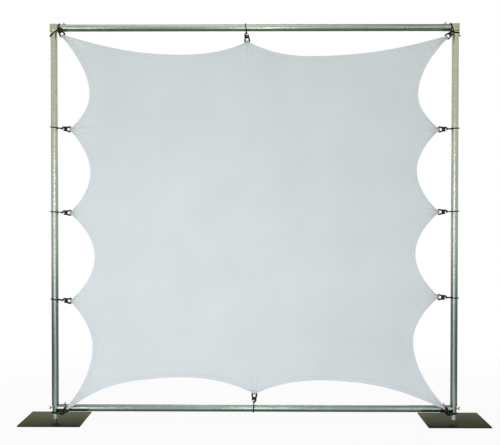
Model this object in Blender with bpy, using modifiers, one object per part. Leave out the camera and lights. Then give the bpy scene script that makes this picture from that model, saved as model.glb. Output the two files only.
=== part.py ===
"""A free-standing screen: a white stretch sheet tied at twelve points inside a pipe frame on base plates.

Metres, +Z up. X runs across the screen and the front faces -Y. The origin is on the floor, midway between
the posts.
"""

import math

import bmesh
import bpy
from mathutils import Matrix, Vector

# Frame
POST_SPACING = 2.438
RAIL_RISE = 2.320
PIPE_DIAMETER = 0.0422
PIPE_WALL = 0.0025
FIT_GAP = 0.0003
SPLICE_LENGTH = 0.600
SPLICE_WALL = 0.0025

# Thicker collar at each outer end of a rail
COLLAR_DIAMETER = 0.0454
COLLAR_LENGTH = 0.058
COLLAR_CHAMFER = 0.0012

# Corner fittings
HUB_SIZE = 0.046
HUB_EDGE = 0.003
HUB_DIMPLE_DIAMETER = 0.010
HUB_DIMPLE_DEPTH = 0.0015
SPIGOT_LENGTH = 0.060
SPIGOT_WALL = 0.0045
BRANCH_ROOT_RADIUS = 0.0172
SPIGOT_ROOT = 0.008
FLANGE_THICKNESS = 0.006
NECK_DIAMETER = 0.036
NECK_DROP = 0.034
NECK_CHAMFER = 0.001
WEB_THICKNESS = 0.006

# Bases
PLATE_WIDTH = 0.375
PLATE_THICKNESS = 0.0064
PLATE_CORNER = 0.004
PLATE_EDGE = 0.0008
PIN_DIAMETER = 0.0286
PIN_EXPOSED = 0.0328
PIN_ABOVE_RAIL = 0.0097
PIN_CHAMFER = 0.003
STUD_DIAMETER = 0.016

# Wing screws
SCREW_DIAMETER = 0.008
WING_BOSS_DIAMETER = 0.012
WING_TOP_DIAMETER = 0.008
WING_BOSS_HEIGHT = 0.007
WING_SPAN = 0.023
WING_HEIGHT = 0.0135
WING_THICKNESS = 0.003
RAIL_SCREW_INSET = 0.060
POST_SCREW_DROP = 0.0485
REAR_POST_SCREW_DROP = 0.068
PIN_SCREW_RISE = 0.002
PIN_SCREW_STANDOFF = 0.007
PIN_SCREW_TURN = math.radians(18)

# One wing's outline, as shares of half the span and of the height
WING_SHARES = [(0.0, 0.10), (0.55, 0.16), (1.0, 0.64), (1.0, 0.90), (0.80, 1.0), (0.40, 0.62), (0.0, 0.48)]

# Spring clamps, from the pivot
CLAMP_WIDTH = 0.016
JAW_REACH = 0.028
JAW_GRIP = 0.0093
JAW_THICKNESS = 0.0092
HANDLE_REACH = 0.019
LEVER_REACH = 0.016
HANDLE_GAP = 0.0062
HANDLE_THICKNESS = 0.0085
GUARD_REACH = 0.0155
GUARD_LEVEL = 0.0006
STOP_START = 0.0072
STOP_END = 0.0140
STOP_LEVEL = 0.0003
EYE_REACH = 0.026
EYE_RADIUS = 0.007
EYE_WIDTH = 0.008
PIVOT_RADIUS = 0.002
KNUCKLE_RADIUS = 0.0055
KNUCKLE_WIDTH = 0.0094
PIVOT_HEAD = 0.001
TOOTH_DEPTH = 0.0008

# Where the jaw's grip starts, as a share of its reach
GRIP_START_SHARE = 0.6

# Tie cords
CORD_DIAMETER = 0.0064
CORD_GAP = 0.0003
EYE_BEND_RADIUS = 0.005
EYE_BEND_RUN = 0.009
CORNER_FORWARD = 0.037

# Places of the tips of the sheet, from the pipes' axes
SIDE_TIE_REACH = 0.103
TOP_TIE_REACH = 0.088
BOTTOM_TIE_REACH = 0.094
TOP_LEFT_INSET = 0.064
TOP_LEFT_DROP = 0.056
TOP_LEFT_ANGLE = math.radians(58)
TOP_LEFT_RAIL_WRAP = 0.0334
TOP_LEFT_POST_WRAP = 0.0506
TOP_RIGHT_INSET = 0.064
TOP_RIGHT_DROP = 0.068
TOP_RIGHT_ANGLE = math.radians(39)
TOP_RIGHT_RAIL_WRAP = 0.0290
TOP_RIGHT_POST_WRAP = 0.0340
BOTTOM_LEFT_INSET = 0.086
BOTTOM_LEFT_RISE = 0.007
BOTTOM_RIGHT_INSET = 0.070
BOTTOM_RIGHT_RISE = 0.016
NECK_WRAP_DROP = 0.0277

# Sheet
SHEET_THICKNESS = 0.0015
BUNCH_THICKNESS = 0.008
BUNCH_HALF_WIDTH = 0.009
BUNCH_RUN = 0.090
BUNCH_TAIL = 0.012
BUNCH_TAIL_HALF_WIDTH = 0.0080
MOUTH_GAP = 0.002
CORNER_BLEND = 0.450

# Heights of the side ties as shares of the rise: where the sheet ends, then where the cord meets the post
LEFT_TIE_SHARES = {"lower": (0.2824, 0.2871), "middle": (0.5148, 0.5178), "upper": (0.7343, 0.7395)}
RIGHT_TIE_SHARES = {"lower": (0.2946, 0.2925), "middle": (0.5179, 0.5198), "upper": (0.7340, 0.7367)}
# Places of the middle ties as shares of the post spacing, from the middle
TOP_TIE_SHARES = (-0.0172, -0.0208)
BOTTOM_TIE_SHARES = (0.0011, -0.0012)

# Each scallop: its deepest point and its depth, as shares of its chord, then how full its two ends are
LEFT_SCALLOP_SHARES = [
    (0.56, 0.218, 2.1, 1.9),
    (0.51, 0.272, 2.0, 2.0),
    (0.50, 0.240, 2.0, 1.8),
    (0.42, 0.240, 2.0, 1.9),
]
RIGHT_SCALLOP_SHARES = [
    (0.57, 0.250, 2.0, 2.0),
    (0.51, 0.270, 2.0, 2.0),
    (0.51, 0.265, 2.0, 1.9),
    (0.42, 0.262, 2.0, 2.0),
]
BOTTOM_SCALLOP_SHARES = [(0.48, 0.122, 2.9, 2.4), (0.48, 0.100, 2.5, 2.1)]
TOP_SCALLOP_SHARES = [(0.56, 0.081, 1.9, 2.6), (0.37, 0.080, 2.5, 2.0)]

# How far in from an edge the sheet's net gets even, as a share of the sheet
SPREAD_SHARE = 0.12

# Angle between facets above which an edge stays sharp
SHARP_ANGLE = math.radians(35)

# Facet counts
PIPE_SIDES = 24
BORE_SIDES = 18
SCREW_SIDES = 8
KNUCKLE_SPANS = 4
PIVOT_SIDES = 6
EYE_SPANS = 6
EYE_HOLE_SIDES = 8
SIDE_SCALLOP_SPANS = 5
LONG_SCALLOP_SPANS = 6
CORD_RESOLUTION = 2
CORD_TURN_STEP = math.radians(33)

# Derived sizes
PIPE_RADIUS = PIPE_DIAMETER / 2
PIPE_BORE_RADIUS = PIPE_RADIUS - PIPE_WALL
COLLAR_RADIUS = COLLAR_DIAMETER / 2
SPIGOT_RADIUS = PIPE_BORE_RADIUS - FIT_GAP
HUB_HALF = HUB_SIZE / 2
NECK_RADIUS = NECK_DIAMETER / 2
PIN_RADIUS = PIN_DIAMETER / 2
PIN_BORE_RADIUS = (PIN_RADIUS + FIT_GAP) / math.cos(math.pi / BORE_SIDES)
SCREW_RADIUS = SCREW_DIAMETER / 2
SCREW_HOLE_RADIUS = (SCREW_RADIUS + FIT_GAP) / math.cos(math.pi / SCREW_SIDES)
CORD_RADIUS = CORD_DIAMETER / 2
EYE_HOLE_RADIUS = (CORD_RADIUS + CORD_GAP) / math.cos(math.pi / EYE_HOLE_SIDES)
POST_X = POST_SPACING / 2
BOTTOM_RAIL_Z = PLATE_THICKNESS + PIN_EXPOSED + NECK_DROP
TOP_RAIL_Z = BOTTOM_RAIL_Z + RAIL_RISE
PIPE_END_INSET = HUB_HALF + FIT_GAP
POST_LENGTH = RAIL_RISE - 2 * PIPE_END_INSET
RAIL_LENGTH = POST_SPACING - 2 * PIPE_END_INSET
HALF_RAIL_LENGTH = (RAIL_LENGTH - FIT_GAP) / 2
CUT_OVERRUN = PIPE_WALL
MERGE_DISTANCE = 0.00001

ALONG_X = Matrix.Rotation(math.pi / 2, 4, "Y")
AGAINST_X = Matrix.Rotation(-math.pi / 2, 4, "Y")
FLAT_TO_FRONT = Matrix.Rotation(math.pi / 2, 4, "X")
BOTH_SIDES = (-1, 1)


def clear_scene():
    for existing in list(bpy.data.objects):
        bpy.data.objects.remove(existing)


def new_collection(name):
    made = bpy.data.collections.new(name)
    bpy.context.scene.collection.children.link(made)
    return made


def finish(name, colour, metallic, roughness):
    made = bpy.data.materials.new(name)
    made.use_nodes = True
    shader = made.node_tree.nodes["Principled BSDF"]
    shader.inputs["Base Color"].default_value = (*colour, 1)
    shader.inputs["Metallic"].default_value = metallic
    shader.inputs["Roughness"].default_value = roughness
    made.diffuse_color = (*colour, 1)
    return made


clear_scene()
SCREEN = new_collection("stretch_fabric_screen")
CUTTERS = new_collection("cutters")
PIPE_FINISH = finish("bright_pipe", (0.56, 0.60, 0.55), 1.0, 0.30)
FITTING_FINISH = finish("cast_fitting", (0.46, 0.49, 0.43), 1.0, 0.42)
SCREW_FINISH = finish("zinc_screw", (0.40, 0.41, 0.38), 1.0, 0.38)
PLATE_FINISH = finish("dark_plate", (0.10, 0.105, 0.075), 0.6, 0.30)
PIN_FINISH = finish("bright_pin", (0.72, 0.73, 0.71), 1.0, 0.20)
CLAMP_FINISH = finish("black_clamp", (0.012, 0.012, 0.011), 0.0, 0.42)
CORD_FINISH = finish("black_cord", (0.010, 0.010, 0.010), 0.0, 0.85)
SHEET_FINISH = finish("white_stretch", (0.70, 0.74, 0.76), 0.0, 0.80)


def add_part(name, data, place, paint):
    """A named piece of the screen."""
    part = bpy.data.objects.new(name, data)
    part.matrix_world = place
    if not data.materials:
        data.materials.append(paint)
    SCREEN.objects.link(part)
    return part


def add_helper(name, data, place=None):
    """A shape that only cuts or joins another."""
    helper = bpy.data.objects.new(name, data)
    helper.matrix_world = place or Matrix.Identity(4)
    helper.hide_render = True
    helper.display_type = "WIRE"
    CUTTERS.objects.link(helper)
    return helper


def combine(target, other, operation):
    """Cuts the helper from the target, or joins it on, with a modifier that stays on the target."""
    boolean = target.modifiers.new(operation.lower(), "BOOLEAN")
    boolean.operation = operation
    boolean.solver = "EXACT"
    boolean.object = other


def settled_mesh(source):
    """The mesh of an object with its modifiers or its curve settings worked out, in its own axes."""
    bpy.context.view_layer.update()
    shown = source.evaluated_get(bpy.context.evaluated_depsgraph_get())
    return bpy.data.meshes.new_from_object(shown)


def smooth_round(data):
    """Smooth shading with the real edges kept sharp."""
    data.shade_smooth()
    data.set_sharp_from_angle(angle=SHARP_ANGLE)


def turned_mesh(name, outline, sides):
    """A shape turned about Z. The outline runs down its outer side, between axis points or round a ring."""
    data = bpy.data.meshes.new(name)
    closed = min(radius for radius, _ in outline) > 0
    edges = [(i, i + 1) for i in range(len(outline) - 1)]
    if closed:
        edges.append((len(outline) - 1, 0))
    data.from_pydata([(radius, 0, height) for radius, height in outline], edges, [])
    source = add_helper(name + "_profile", data)
    screw = source.modifiers.new("turn", "SCREW")
    screw.axis = "Z"
    screw.angle = 2 * math.pi
    screw.steps = sides
    screw.render_steps = sides
    screw.use_merge_vertices = True
    screw.merge_threshold = MERGE_DISTANCE
    turned = settled_mesh(source)
    bpy.data.objects.remove(source)
    smooth_round(turned)
    turned.name = name
    return turned


def flat_mesh(name, loops, thickness, level=0):
    """A flat outline in XY, with any holes as further loops, as thick as given along Z about a level."""
    curve = bpy.data.curves.new(name, "CURVE")
    curve.dimensions = "2D"
    curve.fill_mode = "BOTH"
    curve.extrude = thickness / 2
    for loop in loops:
        spline = curve.splines.new("POLY")
        spline.points.add(len(loop) - 1)
        for point, (along, across) in zip(spline.points, loop):
            point.co = (along, across, 0, 1)
        spline.use_cyclic_u = True
    source = add_helper(name + "_outline", curve)
    data = settled_mesh(source)
    bpy.data.objects.remove(source)
    work = bmesh.new()
    work.from_mesh(data)
    bmesh.ops.remove_doubles(work, verts=work.verts, dist=MERGE_DISTANCE)
    bmesh.ops.recalc_face_normals(work, faces=work.faces)
    bmesh.ops.translate(work, verts=work.verts, vec=(0, 0, level))
    work.to_mesh(data)
    work.free()
    data.name = name
    return data


def rod_mesh(name, radius, bottom, top, sides):
    return turned_mesh(name, [(0, top), (radius, top), (radius, bottom), (0, bottom)], sides)


def arc(centre, radius, start, end, spans):
    """Points along an arc, both ends included."""
    step = (end - start) / spans
    return [
        (centre[0] + radius * math.cos(start + step * i), centre[1] + radius * math.sin(start + step * i))
        for i in range(spans + 1)
    ]


def joined_mesh(name, base, additions, cuts=()):
    """One closed mesh from a base, what is joined to it, and then what is cut from it."""
    body = add_helper(name, base)
    helpers = []
    for operation, pieces in (("UNION", additions), ("DIFFERENCE", cuts)):
        for data, place in pieces:
            helper = add_helper(data.name, data, place)
            combine(body, helper, operation)
            helpers.append(helper)
    result = settled_mesh(body)
    for helper in [body, *helpers]:
        bpy.data.objects.remove(helper)
    result.name = name
    smooth_round(result)
    return result


def at(x, y, z):
    return Matrix.Translation((x, y, z))


# Pipes
def pipe_outline(length, collar_ends):
    """A pipe from zero up to its length. A collar end is thicker for the collar's length."""
    outline = []
    if "top" in collar_ends:
        outline += [
            (COLLAR_RADIUS, length),
            (COLLAR_RADIUS, length - COLLAR_LENGTH + COLLAR_CHAMFER),
            (PIPE_RADIUS, length - COLLAR_LENGTH),
        ]
    else:
        outline.append((PIPE_RADIUS, length))
    if "bottom" in collar_ends:
        outline += [
            (PIPE_RADIUS, COLLAR_LENGTH),
            (COLLAR_RADIUS, COLLAR_LENGTH - COLLAR_CHAMFER),
            (COLLAR_RADIUS, 0),
        ]
    else:
        outline.append((PIPE_RADIUS, 0))
    return outline + [(PIPE_BORE_RADIUS, 0), (PIPE_BORE_RADIUS, length)]


def screw_hole(name, place, reach):
    """A cutter for the clearance hole of a wing screw, from the surface inwards."""
    hole = rod_mesh(name, SCREW_HOLE_RADIUS, -reach, CUT_OVERRUN, SCREW_SIDES)
    return add_helper(name, hole, place)


def make_pipes():
    collar_cut = COLLAR_RADIUS - PIPE_BORE_RADIUS + CUT_OVERRUN
    post = turned_mesh("post", pipe_outline(POST_LENGTH, ()), PIPE_SIDES)
    for side, name in ((-1, "left_post"), (1, "right_post")):
        foot = at(side * POST_X, 0, BOTTOM_RAIL_Z + PIPE_END_INSET)
        part = add_part(name, post.copy(), foot, PIPE_FINISH)
        hole = screw_hole(name + "_hole", post_screw_place(side), PIPE_WALL + CUT_OVERRUN)
        combine(part, hole, "DIFFERENCE")
    half = turned_mesh("half_rail", pipe_outline(HALF_RAIL_LENGTH, ("bottom",)), PIPE_SIDES)
    for side, name, turn in ((-1, "top_rail_left", ALONG_X), (1, "top_rail_right", AGAINST_X)):
        start = at(side * RAIL_LENGTH / 2, 0, TOP_RAIL_Z)
        part = add_part(name, half.copy(), start @ turn, PIPE_FINISH)
        hole = screw_hole(name + "_hole", rail_screw_place(side, TOP_RAIL_Z), collar_cut)
        combine(part, hole, "DIFFERENCE")
    whole = turned_mesh("whole_rail", pipe_outline(RAIL_LENGTH, ("bottom", "top")), PIPE_SIDES)
    part = add_part("bottom_rail", whole, at(-RAIL_LENGTH / 2, 0, BOTTOM_RAIL_Z) @ ALONG_X, PIPE_FINISH)
    for side in BOTH_SIDES:
        hole = screw_hole("bottom_rail_hole", rail_screw_place(side, BOTTOM_RAIL_Z), collar_cut)
        combine(part, hole, "DIFFERENCE")
    sleeve = turned_mesh(
        "splice",
        [
            (SPIGOT_RADIUS, SPLICE_LENGTH),
            (SPIGOT_RADIUS, 0),
            (SPIGOT_RADIUS - SPLICE_WALL, 0),
            (SPIGOT_RADIUS - SPLICE_WALL, SPLICE_LENGTH),
        ],
        PIPE_SIDES,
    )
    add_part("top_rail_splice", sleeve, at(-SPLICE_LENGTH / 2, 0, TOP_RAIL_Z) @ ALONG_X, PIPE_FINISH)


# Corner fittings
def spigot_mesh(name, root, start, end):
    """A hollow spigot with its root inside the fitting and its bore open at the free end."""
    bore = SPIGOT_RADIUS - SPIGOT_WALL
    return turned_mesh(
        name,
        [
            (0, start),
            (bore, start),
            (bore, end),
            (SPIGOT_RADIUS, end),
            (SPIGOT_RADIUS, root),
            (0, root),
        ],
        PIPE_SIDES,
    )


def cube_mesh(name, sizes, edge, corners_only=False):
    """A block with rounded edges."""
    work = bmesh.new()
    bmesh.ops.create_cube(work, size=1)
    bmesh.ops.scale(work, vec=sizes, verts=work.verts)
    upright = [e for e in work.edges if abs(e.verts[0].co.z - e.verts[1].co.z) > sizes[2] / 2]
    chosen = upright if corners_only else list(work.edges)
    bmesh.ops.bevel(work, geom=chosen, offset=edge, segments=2, profile=0.5, affect="EDGES")
    data = bpy.data.meshes.new(name)
    work.to_mesh(data)
    work.free()
    return data


def top_fitting_mesh(side):
    """A square hub with a spigot down into the post, one along the rail and a shallow dimple in front."""
    end = HUB_HALF + SPIGOT_LENGTH
    spigot = spigot_mesh("top_spigot", HUB_HALF - SPIGOT_ROOT, HUB_HALF, end)
    down = Matrix.Rotation(math.pi, 4, "X")
    inwards = AGAINST_X if side > 0 else ALONG_X
    hub = cube_mesh("hub", (HUB_SIZE, HUB_SIZE, HUB_SIZE), HUB_EDGE)
    dimple = rod_mesh("hub_dimple", HUB_DIMPLE_DIAMETER / 2, -HUB_DIMPLE_DEPTH, CUT_OVERRUN, SCREW_SIDES)
    front = at(0, -HUB_HALF, 0) @ FLAT_TO_FRONT
    return joined_mesh("top_fitting", hub, [(spigot, down), (spigot.copy(), inwards)], [(dimple, front)])


def bottom_fitting_mesh(side):
    """A neck for the base pin, with a flanged spigot up into the post and another into the rail."""
    end = HUB_HALF + SPIGOT_LENGTH
    flange_start = HUB_HALF - FLANGE_THICKNESS
    neck = turned_mesh(
        "neck",
        [
            (0, end),
            (SPIGOT_RADIUS, end),
            (SPIGOT_RADIUS, HUB_HALF),
            (PIPE_RADIUS, HUB_HALF),
            (PIPE_RADIUS, flange_start),
            (NECK_RADIUS, flange_start),
            (NECK_RADIUS, NECK_CHAMFER - NECK_DROP),
            (NECK_RADIUS - NECK_CHAMFER, -NECK_DROP),
            (0, -NECK_DROP),
        ],
        PIPE_SIDES,
    )
    branch = turned_mesh(
        "branch",
        [
            (0, end),
            (SPIGOT_RADIUS, end),
            (SPIGOT_RADIUS, HUB_HALF),
            (PIPE_RADIUS, HUB_HALF),
            (PIPE_RADIUS, flange_start),
            (BRANCH_ROOT_RADIUS, flange_start),
            (BRANCH_ROOT_RADIUS, 0),
            (0, 0),
        ],
        PIPE_SIDES,
    )
    bore = SPIGOT_RADIUS - SPIGOT_WALL
    web_top = PIN_ABOVE_RAIL + FIT_GAP + WEB_THICKNESS
    upper_bore = rod_mesh("upper_bore", bore, web_top, end + CUT_OVERRUN, BORE_SIDES)
    bore_ends = (-NECK_DROP - CUT_OVERRUN, PIN_ABOVE_RAIL + FIT_GAP)
    pin_bore = rod_mesh("pin_bore", PIN_BORE_RADIUS, *bore_ends, BORE_SIDES)
    screw_cut = rod_mesh("pin_screw_cut", SCREW_HOLE_RADIUS, -NECK_RADIUS / 2, CUT_OVERRUN, SCREW_SIDES)
    inwards = AGAINST_X if side > 0 else ALONG_X
    outwards = ALONG_X if side > 0 else AGAINST_X
    screw_place = at(side * NECK_RADIUS, 0, PIN_SCREW_RISE) @ outwards
    nowhere = Matrix.Identity(4)
    return joined_mesh(
        "bottom_fitting",
        neck,
        [(branch, inwards)],
        [(upper_bore, nowhere), (pin_bore, nowhere), (screw_cut, screw_place)],
    )


def make_fittings():
    for side, word in ((-1, "left"), (1, "right")):
        upper = at(side * POST_X, 0, TOP_RAIL_Z)
        lower = at(side * POST_X, 0, BOTTOM_RAIL_Z)
        add_part(f"top_{word}_fitting", top_fitting_mesh(side), upper, FITTING_FINISH)
        add_part(f"bottom_{word}_fitting", bottom_fitting_mesh(side), lower, FITTING_FINISH)


# Wing screws
def rail_screw_place(side, height):
    """On top of a rail's collar, with the wings edge on to the front."""
    top = at(side * (POST_X - RAIL_SCREW_INSET), 0, height + COLLAR_RADIUS)
    return top @ Matrix.Rotation(math.pi / 2, 4, "Z")


def post_screw_place(side):
    """On the outer side of the right post, and on the rear of the left one."""
    if side > 0:
        quarter = Matrix.Rotation(math.pi / 2, 4, "Z")
        return at(side * (POST_X + PIPE_RADIUS), 0, TOP_RAIL_Z - POST_SCREW_DROP) @ ALONG_X @ quarter
    rear = Matrix.Rotation(-math.pi / 2, 4, "X")
    return at(side * POST_X, PIPE_RADIUS, TOP_RAIL_Z - REAR_POST_SCREW_DROP) @ rear


def pin_screw_place(side):
    """On the outer side of a bottom fitting."""
    outwards = ALONG_X if side > 0 else AGAINST_X
    turn = Matrix.Rotation(side * PIN_SCREW_TURN, 4, "Z")
    return at(side * (POST_X + NECK_RADIUS), 0, BOTTOM_RAIL_Z + PIN_SCREW_RISE) @ outwards @ turn


def wing_screw_mesh(name, shank, standoff):
    """A wing screw along Z, with its seat at zero, its shank below it and its wings spread along X."""
    boss = WING_BOSS_DIAMETER / 2
    base = standoff + FIT_GAP
    body = turned_mesh(
        name,
        [
            (0, base + WING_BOSS_HEIGHT),
            (WING_TOP_DIAMETER / 2, base + WING_BOSS_HEIGHT),
            (boss, base + WING_THICKNESS / 2),
            (boss, base),
            (SCREW_RADIUS, base),
            (SCREW_RADIUS, -shank),
            (0, -shank),
        ],
        SCREW_SIDES,
    )
    half_span = WING_SPAN / 2
    right = [(x_share * half_span, base + z_share * WING_HEIGHT) for x_share, z_share in WING_SHARES]
    left = [(-x, z) for x, z in reversed(right)]
    wings = flat_mesh(name + "_wings", [right + left], WING_THICKNESS)
    return joined_mesh(name, body, [(wings, FLAT_TO_FRONT)])


def make_wing_screws():
    rail_screw = wing_screw_mesh("rail_wing_screw", COLLAR_RADIUS - SPIGOT_RADIUS - FIT_GAP, 0)
    post_screw = wing_screw_mesh("post_wing_screw", PIPE_RADIUS - SPIGOT_RADIUS - FIT_GAP, 0)
    pin_screw = wing_screw_mesh("pin_wing_screw", NECK_RADIUS - PIN_RADIUS - FIT_GAP, PIN_SCREW_STANDOFF)
    for side, word in ((-1, "left"), (1, "right")):
        upper, lower = rail_screw_place(side, TOP_RAIL_Z), rail_screw_place(side, BOTTOM_RAIL_Z)
        add_part(f"top_{word}_rail_wing_screw", rail_screw, upper, SCREW_FINISH)
        add_part(f"bottom_{word}_rail_wing_screw", rail_screw, lower, SCREW_FINISH)
        add_part(f"top_{word}_post_wing_screw", post_screw, post_screw_place(side), SCREW_FINISH)
        add_part(f"bottom_{word}_pin_wing_screw", pin_screw, pin_screw_place(side), SCREW_FINISH)


# Bases
def make_bases():
    pin = turned_mesh(
        "base_pin",
        [
            (0, BOTTOM_RAIL_Z + PIN_ABOVE_RAIL),
            (PIN_RADIUS - PIN_CHAMFER, BOTTOM_RAIL_Z + PIN_ABOVE_RAIL),
            (PIN_RADIUS, BOTTOM_RAIL_Z + PIN_ABOVE_RAIL - PIN_CHAMFER),
            (PIN_RADIUS, PLATE_THICKNESS + FIT_GAP),
            (STUD_DIAMETER / 2, PLATE_THICKNESS + FIT_GAP),
            (STUD_DIAMETER / 2, FIT_GAP),
            (0, FIT_GAP),
        ],
        BORE_SIDES,
    )
    slab = cube_mesh("plate", (PLATE_WIDTH, PLATE_WIDTH, PLATE_THICKNESS), PLATE_CORNER, corners_only=True)
    hole_radius = STUD_DIAMETER / 2 + FIT_GAP
    stud_hole = rod_mesh("stud_hole", hole_radius, -PLATE_THICKNESS, PLATE_THICKNESS, BORE_SIDES)
    plate = joined_mesh("base_plate", slab, [], [(stud_hole, Matrix.Identity(4))])
    for side, word in ((-1, "left"), (1, "right")):
        swivel = bpy.data.objects.new(f"{word}_base_swivel", None)
        swivel.location = (side * POST_X, 0, 0)
        SCREEN.objects.link(swivel)
        for name, data, height, paint in (
            (f"{word}_base_plate", plate, PLATE_THICKNESS / 2, PLATE_FINISH),
            (f"{word}_base_pin", pin, 0, PIN_FINISH),
        ):
            part = add_part(name, data, at(0, 0, height), paint)
            part.parent = swivel


# Ties: where the sheet ends, which way its clamp points and how its cord goes
def tie(name, mouth, towards_sheet, fixed_side):
    """A tie's clamp runs from its eye to the sheet's end. The clamp's fixed arm lies on the given side."""
    along = Vector(towards_sheet).normalized()
    pin_axis = Vector((0, fixed_side, 0))
    across = pin_axis.cross(along)
    pivot = Vector(mouth) - along * (JAW_REACH + MOUTH_GAP)
    place = Matrix((along, across, pin_axis)).transposed().to_4x4()
    place.translation = pivot
    return {
        "name": name,
        "mouth": Vector(mouth),
        "along": along,
        "across": across,
        "pin_axis": pin_axis,
        "pivot": pivot,
        "eye": pivot - along * EYE_REACH,
        "place": place,
    }


def side_ties():
    made = []
    for side, word, shares in ((-1, "left", LEFT_TIE_SHARES), (1, "right", RIGHT_TIE_SHARES)):
        for level, (tip_share, cord_share) in shares.items():
            wrap = Vector((side * POST_X, 0, BOTTOM_RAIL_Z + cord_share * RAIL_RISE))
            mouth = Vector((side * (POST_X - SIDE_TIE_REACH), 0, BOTTOM_RAIL_Z + tip_share * RAIL_RISE))
            entry = tie(f"{word}_{level}", mouth, mouth - wrap, side)
            entry["route"] = belt_route(wrap, entry["eye"], Vector((0, 0, 1)))
            made.append(entry)
    return made


def middle_ties():
    made = []
    for word, shares, height, reach, fixed_side in (
        ("top", TOP_TIE_SHARES, TOP_RAIL_Z, -TOP_TIE_REACH, 1),
        ("bottom", BOTTOM_TIE_SHARES, BOTTOM_RAIL_Z, BOTTOM_TIE_REACH, 1),
    ):
        tip_share, cord_share = shares
        wrap = Vector((cord_share * POST_SPACING, 0, height))
        mouth = Vector((tip_share * POST_SPACING, 0, height + reach))
        entry = tie(f"{word}_middle", mouth, mouth - wrap, fixed_side)
        entry["route"] = belt_route(wrap, entry["eye"], Vector((1, 0, 0)))
        made.append(entry)
    return made


def corner_ties():
    made = []
    left_wraps = (TOP_LEFT_RAIL_WRAP, TOP_LEFT_POST_WRAP)
    right_wraps = (TOP_RIGHT_RAIL_WRAP, TOP_RIGHT_POST_WRAP)
    for side, word, inset, drop, angle, (rail_wrap, post_wrap) in (
        (-1, "left", TOP_LEFT_INSET, TOP_LEFT_DROP, TOP_LEFT_ANGLE, left_wraps),
        (1, "right", TOP_RIGHT_INSET, TOP_RIGHT_DROP, TOP_RIGHT_ANGLE, right_wraps),
    ):
        mouth = (side * (POST_X - inset), -CORNER_FORWARD, TOP_RAIL_Z - drop)
        entry = tie(f"top_{word}", mouth, (-side * math.cos(angle), 0, -math.sin(angle)), side)
        entry["route"] = top_corner_route(side, entry["eye"], rail_wrap, post_wrap)
        made.append(entry)
    for side, word, inset, rise in (
        (-1, "left", BOTTOM_LEFT_INSET, BOTTOM_LEFT_RISE),
        (1, "right", BOTTOM_RIGHT_INSET, BOTTOM_RIGHT_RISE),
    ):
        reach = JAW_REACH + MOUTH_GAP + EYE_REACH
        angle = math.asin((rise + NECK_WRAP_DROP) / reach)
        mouth = (side * (POST_X - inset), -CORNER_FORWARD, BOTTOM_RAIL_Z + rise)
        entry = tie(f"bottom_{word}", mouth, (-side * math.cos(angle), 0, math.sin(angle)), -side)
        entry["route"] = bottom_corner_route(side, entry["eye"])
        made.append(entry)
    return made


def rounded_loop(corners):
    """A closed route through corners, each with its own bend radius."""
    route = []
    count = len(corners)
    for i, (corner, radius) in enumerate(corners):
        back = (corners[i - 1][0] - corner).normalized()
        ahead = (corners[(i + 1) % count][0] - corner).normalized()
        turn = math.pi - back.angle(ahead)
        spans = math.ceil(turn / CORD_TURN_STEP)
        side = (back + ahead).normalized()
        centre = corner + side * (radius / math.cos(turn / 2))
        forward = (ahead - back).normalized()
        reach = radius / math.cos(turn / spans / 2)
        for step in range(spans):
            angle = turn * ((step + 0.5) / spans - 0.5)
            route.append(centre + (forward * math.sin(angle) - side * math.cos(angle)) * reach)
    return route


def wrap_radius(pipe_radius):
    """The radius of a cord's bend round a pipe."""
    return pipe_radius + CORD_RADIUS + CORD_GAP


def tangent_corner(radius, along, across):
    """How far a corner on a circle's tangent lies from the touching point."""
    touching = math.atan2(across, along) + math.acos(radius / math.hypot(along, across))
    return radius * math.tan((math.pi / 2 - touching) / 2)


def belt_route(wrap, eye, pipe_axis):
    """A taut loop like a belt: round the pipe, along two straight legs and through the eye of the clamp."""
    run = eye - wrap
    outwards = run.normalized()
    sideways = Vector((0, 1, 0))
    square_share = outwards.cross(sideways).dot(pipe_axis)
    wide = wrap_radius(PIPE_RADIUS) / abs(square_share)
    start = tangent_corner(wide, run.length, EYE_BEND_RUN)
    corners = []
    for turn in BOTH_SIDES:
        shoulder = (wrap + outwards * start + sideways * (turn * wide), wide)
        back = (wrap - outwards * wide + sideways * (turn * wide), wide)
        lug = (eye + sideways * (turn * EYE_BEND_RUN), EYE_BEND_RADIUS)
        corners += [back, shoulder, lug] if turn > 0 else [lug, shoulder, back]
    return rounded_loop(corners)


def placed_loop(side, height, corners):
    """A corner tie's loop, from insets, depths and rises about a corner of the frame."""
    return rounded_loop(
        [(Vector((side * (POST_X - i), y, height + z)), radius) for i, y, z, radius in corners]
    )


def top_corner_route(side, eye, rail_wrap, post_wrap):
    """Up in front of the hub, over the rail, down behind the hub, round the post and back to the eye."""
    rail_round = wrap_radius(COLLAR_RADIUS)
    post_round = wrap_radius(PIPE_RADIUS)
    behind_hub = wrap_radius(HUB_HALF)
    inset = POST_X - abs(eye.x)
    rise = eye.z - TOP_RAIL_Z
    front = eye.y - EYE_BEND_RUN
    over_lug = rise + EYE_RADIUS + CORD_RADIUS
    rail_front = -tangent_corner(rail_round, -front, over_lug)
    corners = [
        (inset, eye.y + EYE_BEND_RUN - CORD_GAP, rise, EYE_BEND_RADIUS),
        (inset, front, rise, EYE_BEND_RADIUS),
        (inset, front, over_lug, EYE_BEND_RADIUS),
        (rail_wrap, rail_front, rail_round, rail_round),
        (rail_wrap, rail_round, rail_round, rail_round),
        (rail_wrap, behind_hub + CORD_GAP, -CORD_DIAMETER, CORD_DIAMETER),
        (-post_round, behind_hub - CORD_GAP, -post_wrap, post_round),
        (-post_round, -post_round, -post_wrap, post_round),
    ]
    return placed_loop(side, TOP_RAIL_Z, corners)


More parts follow.
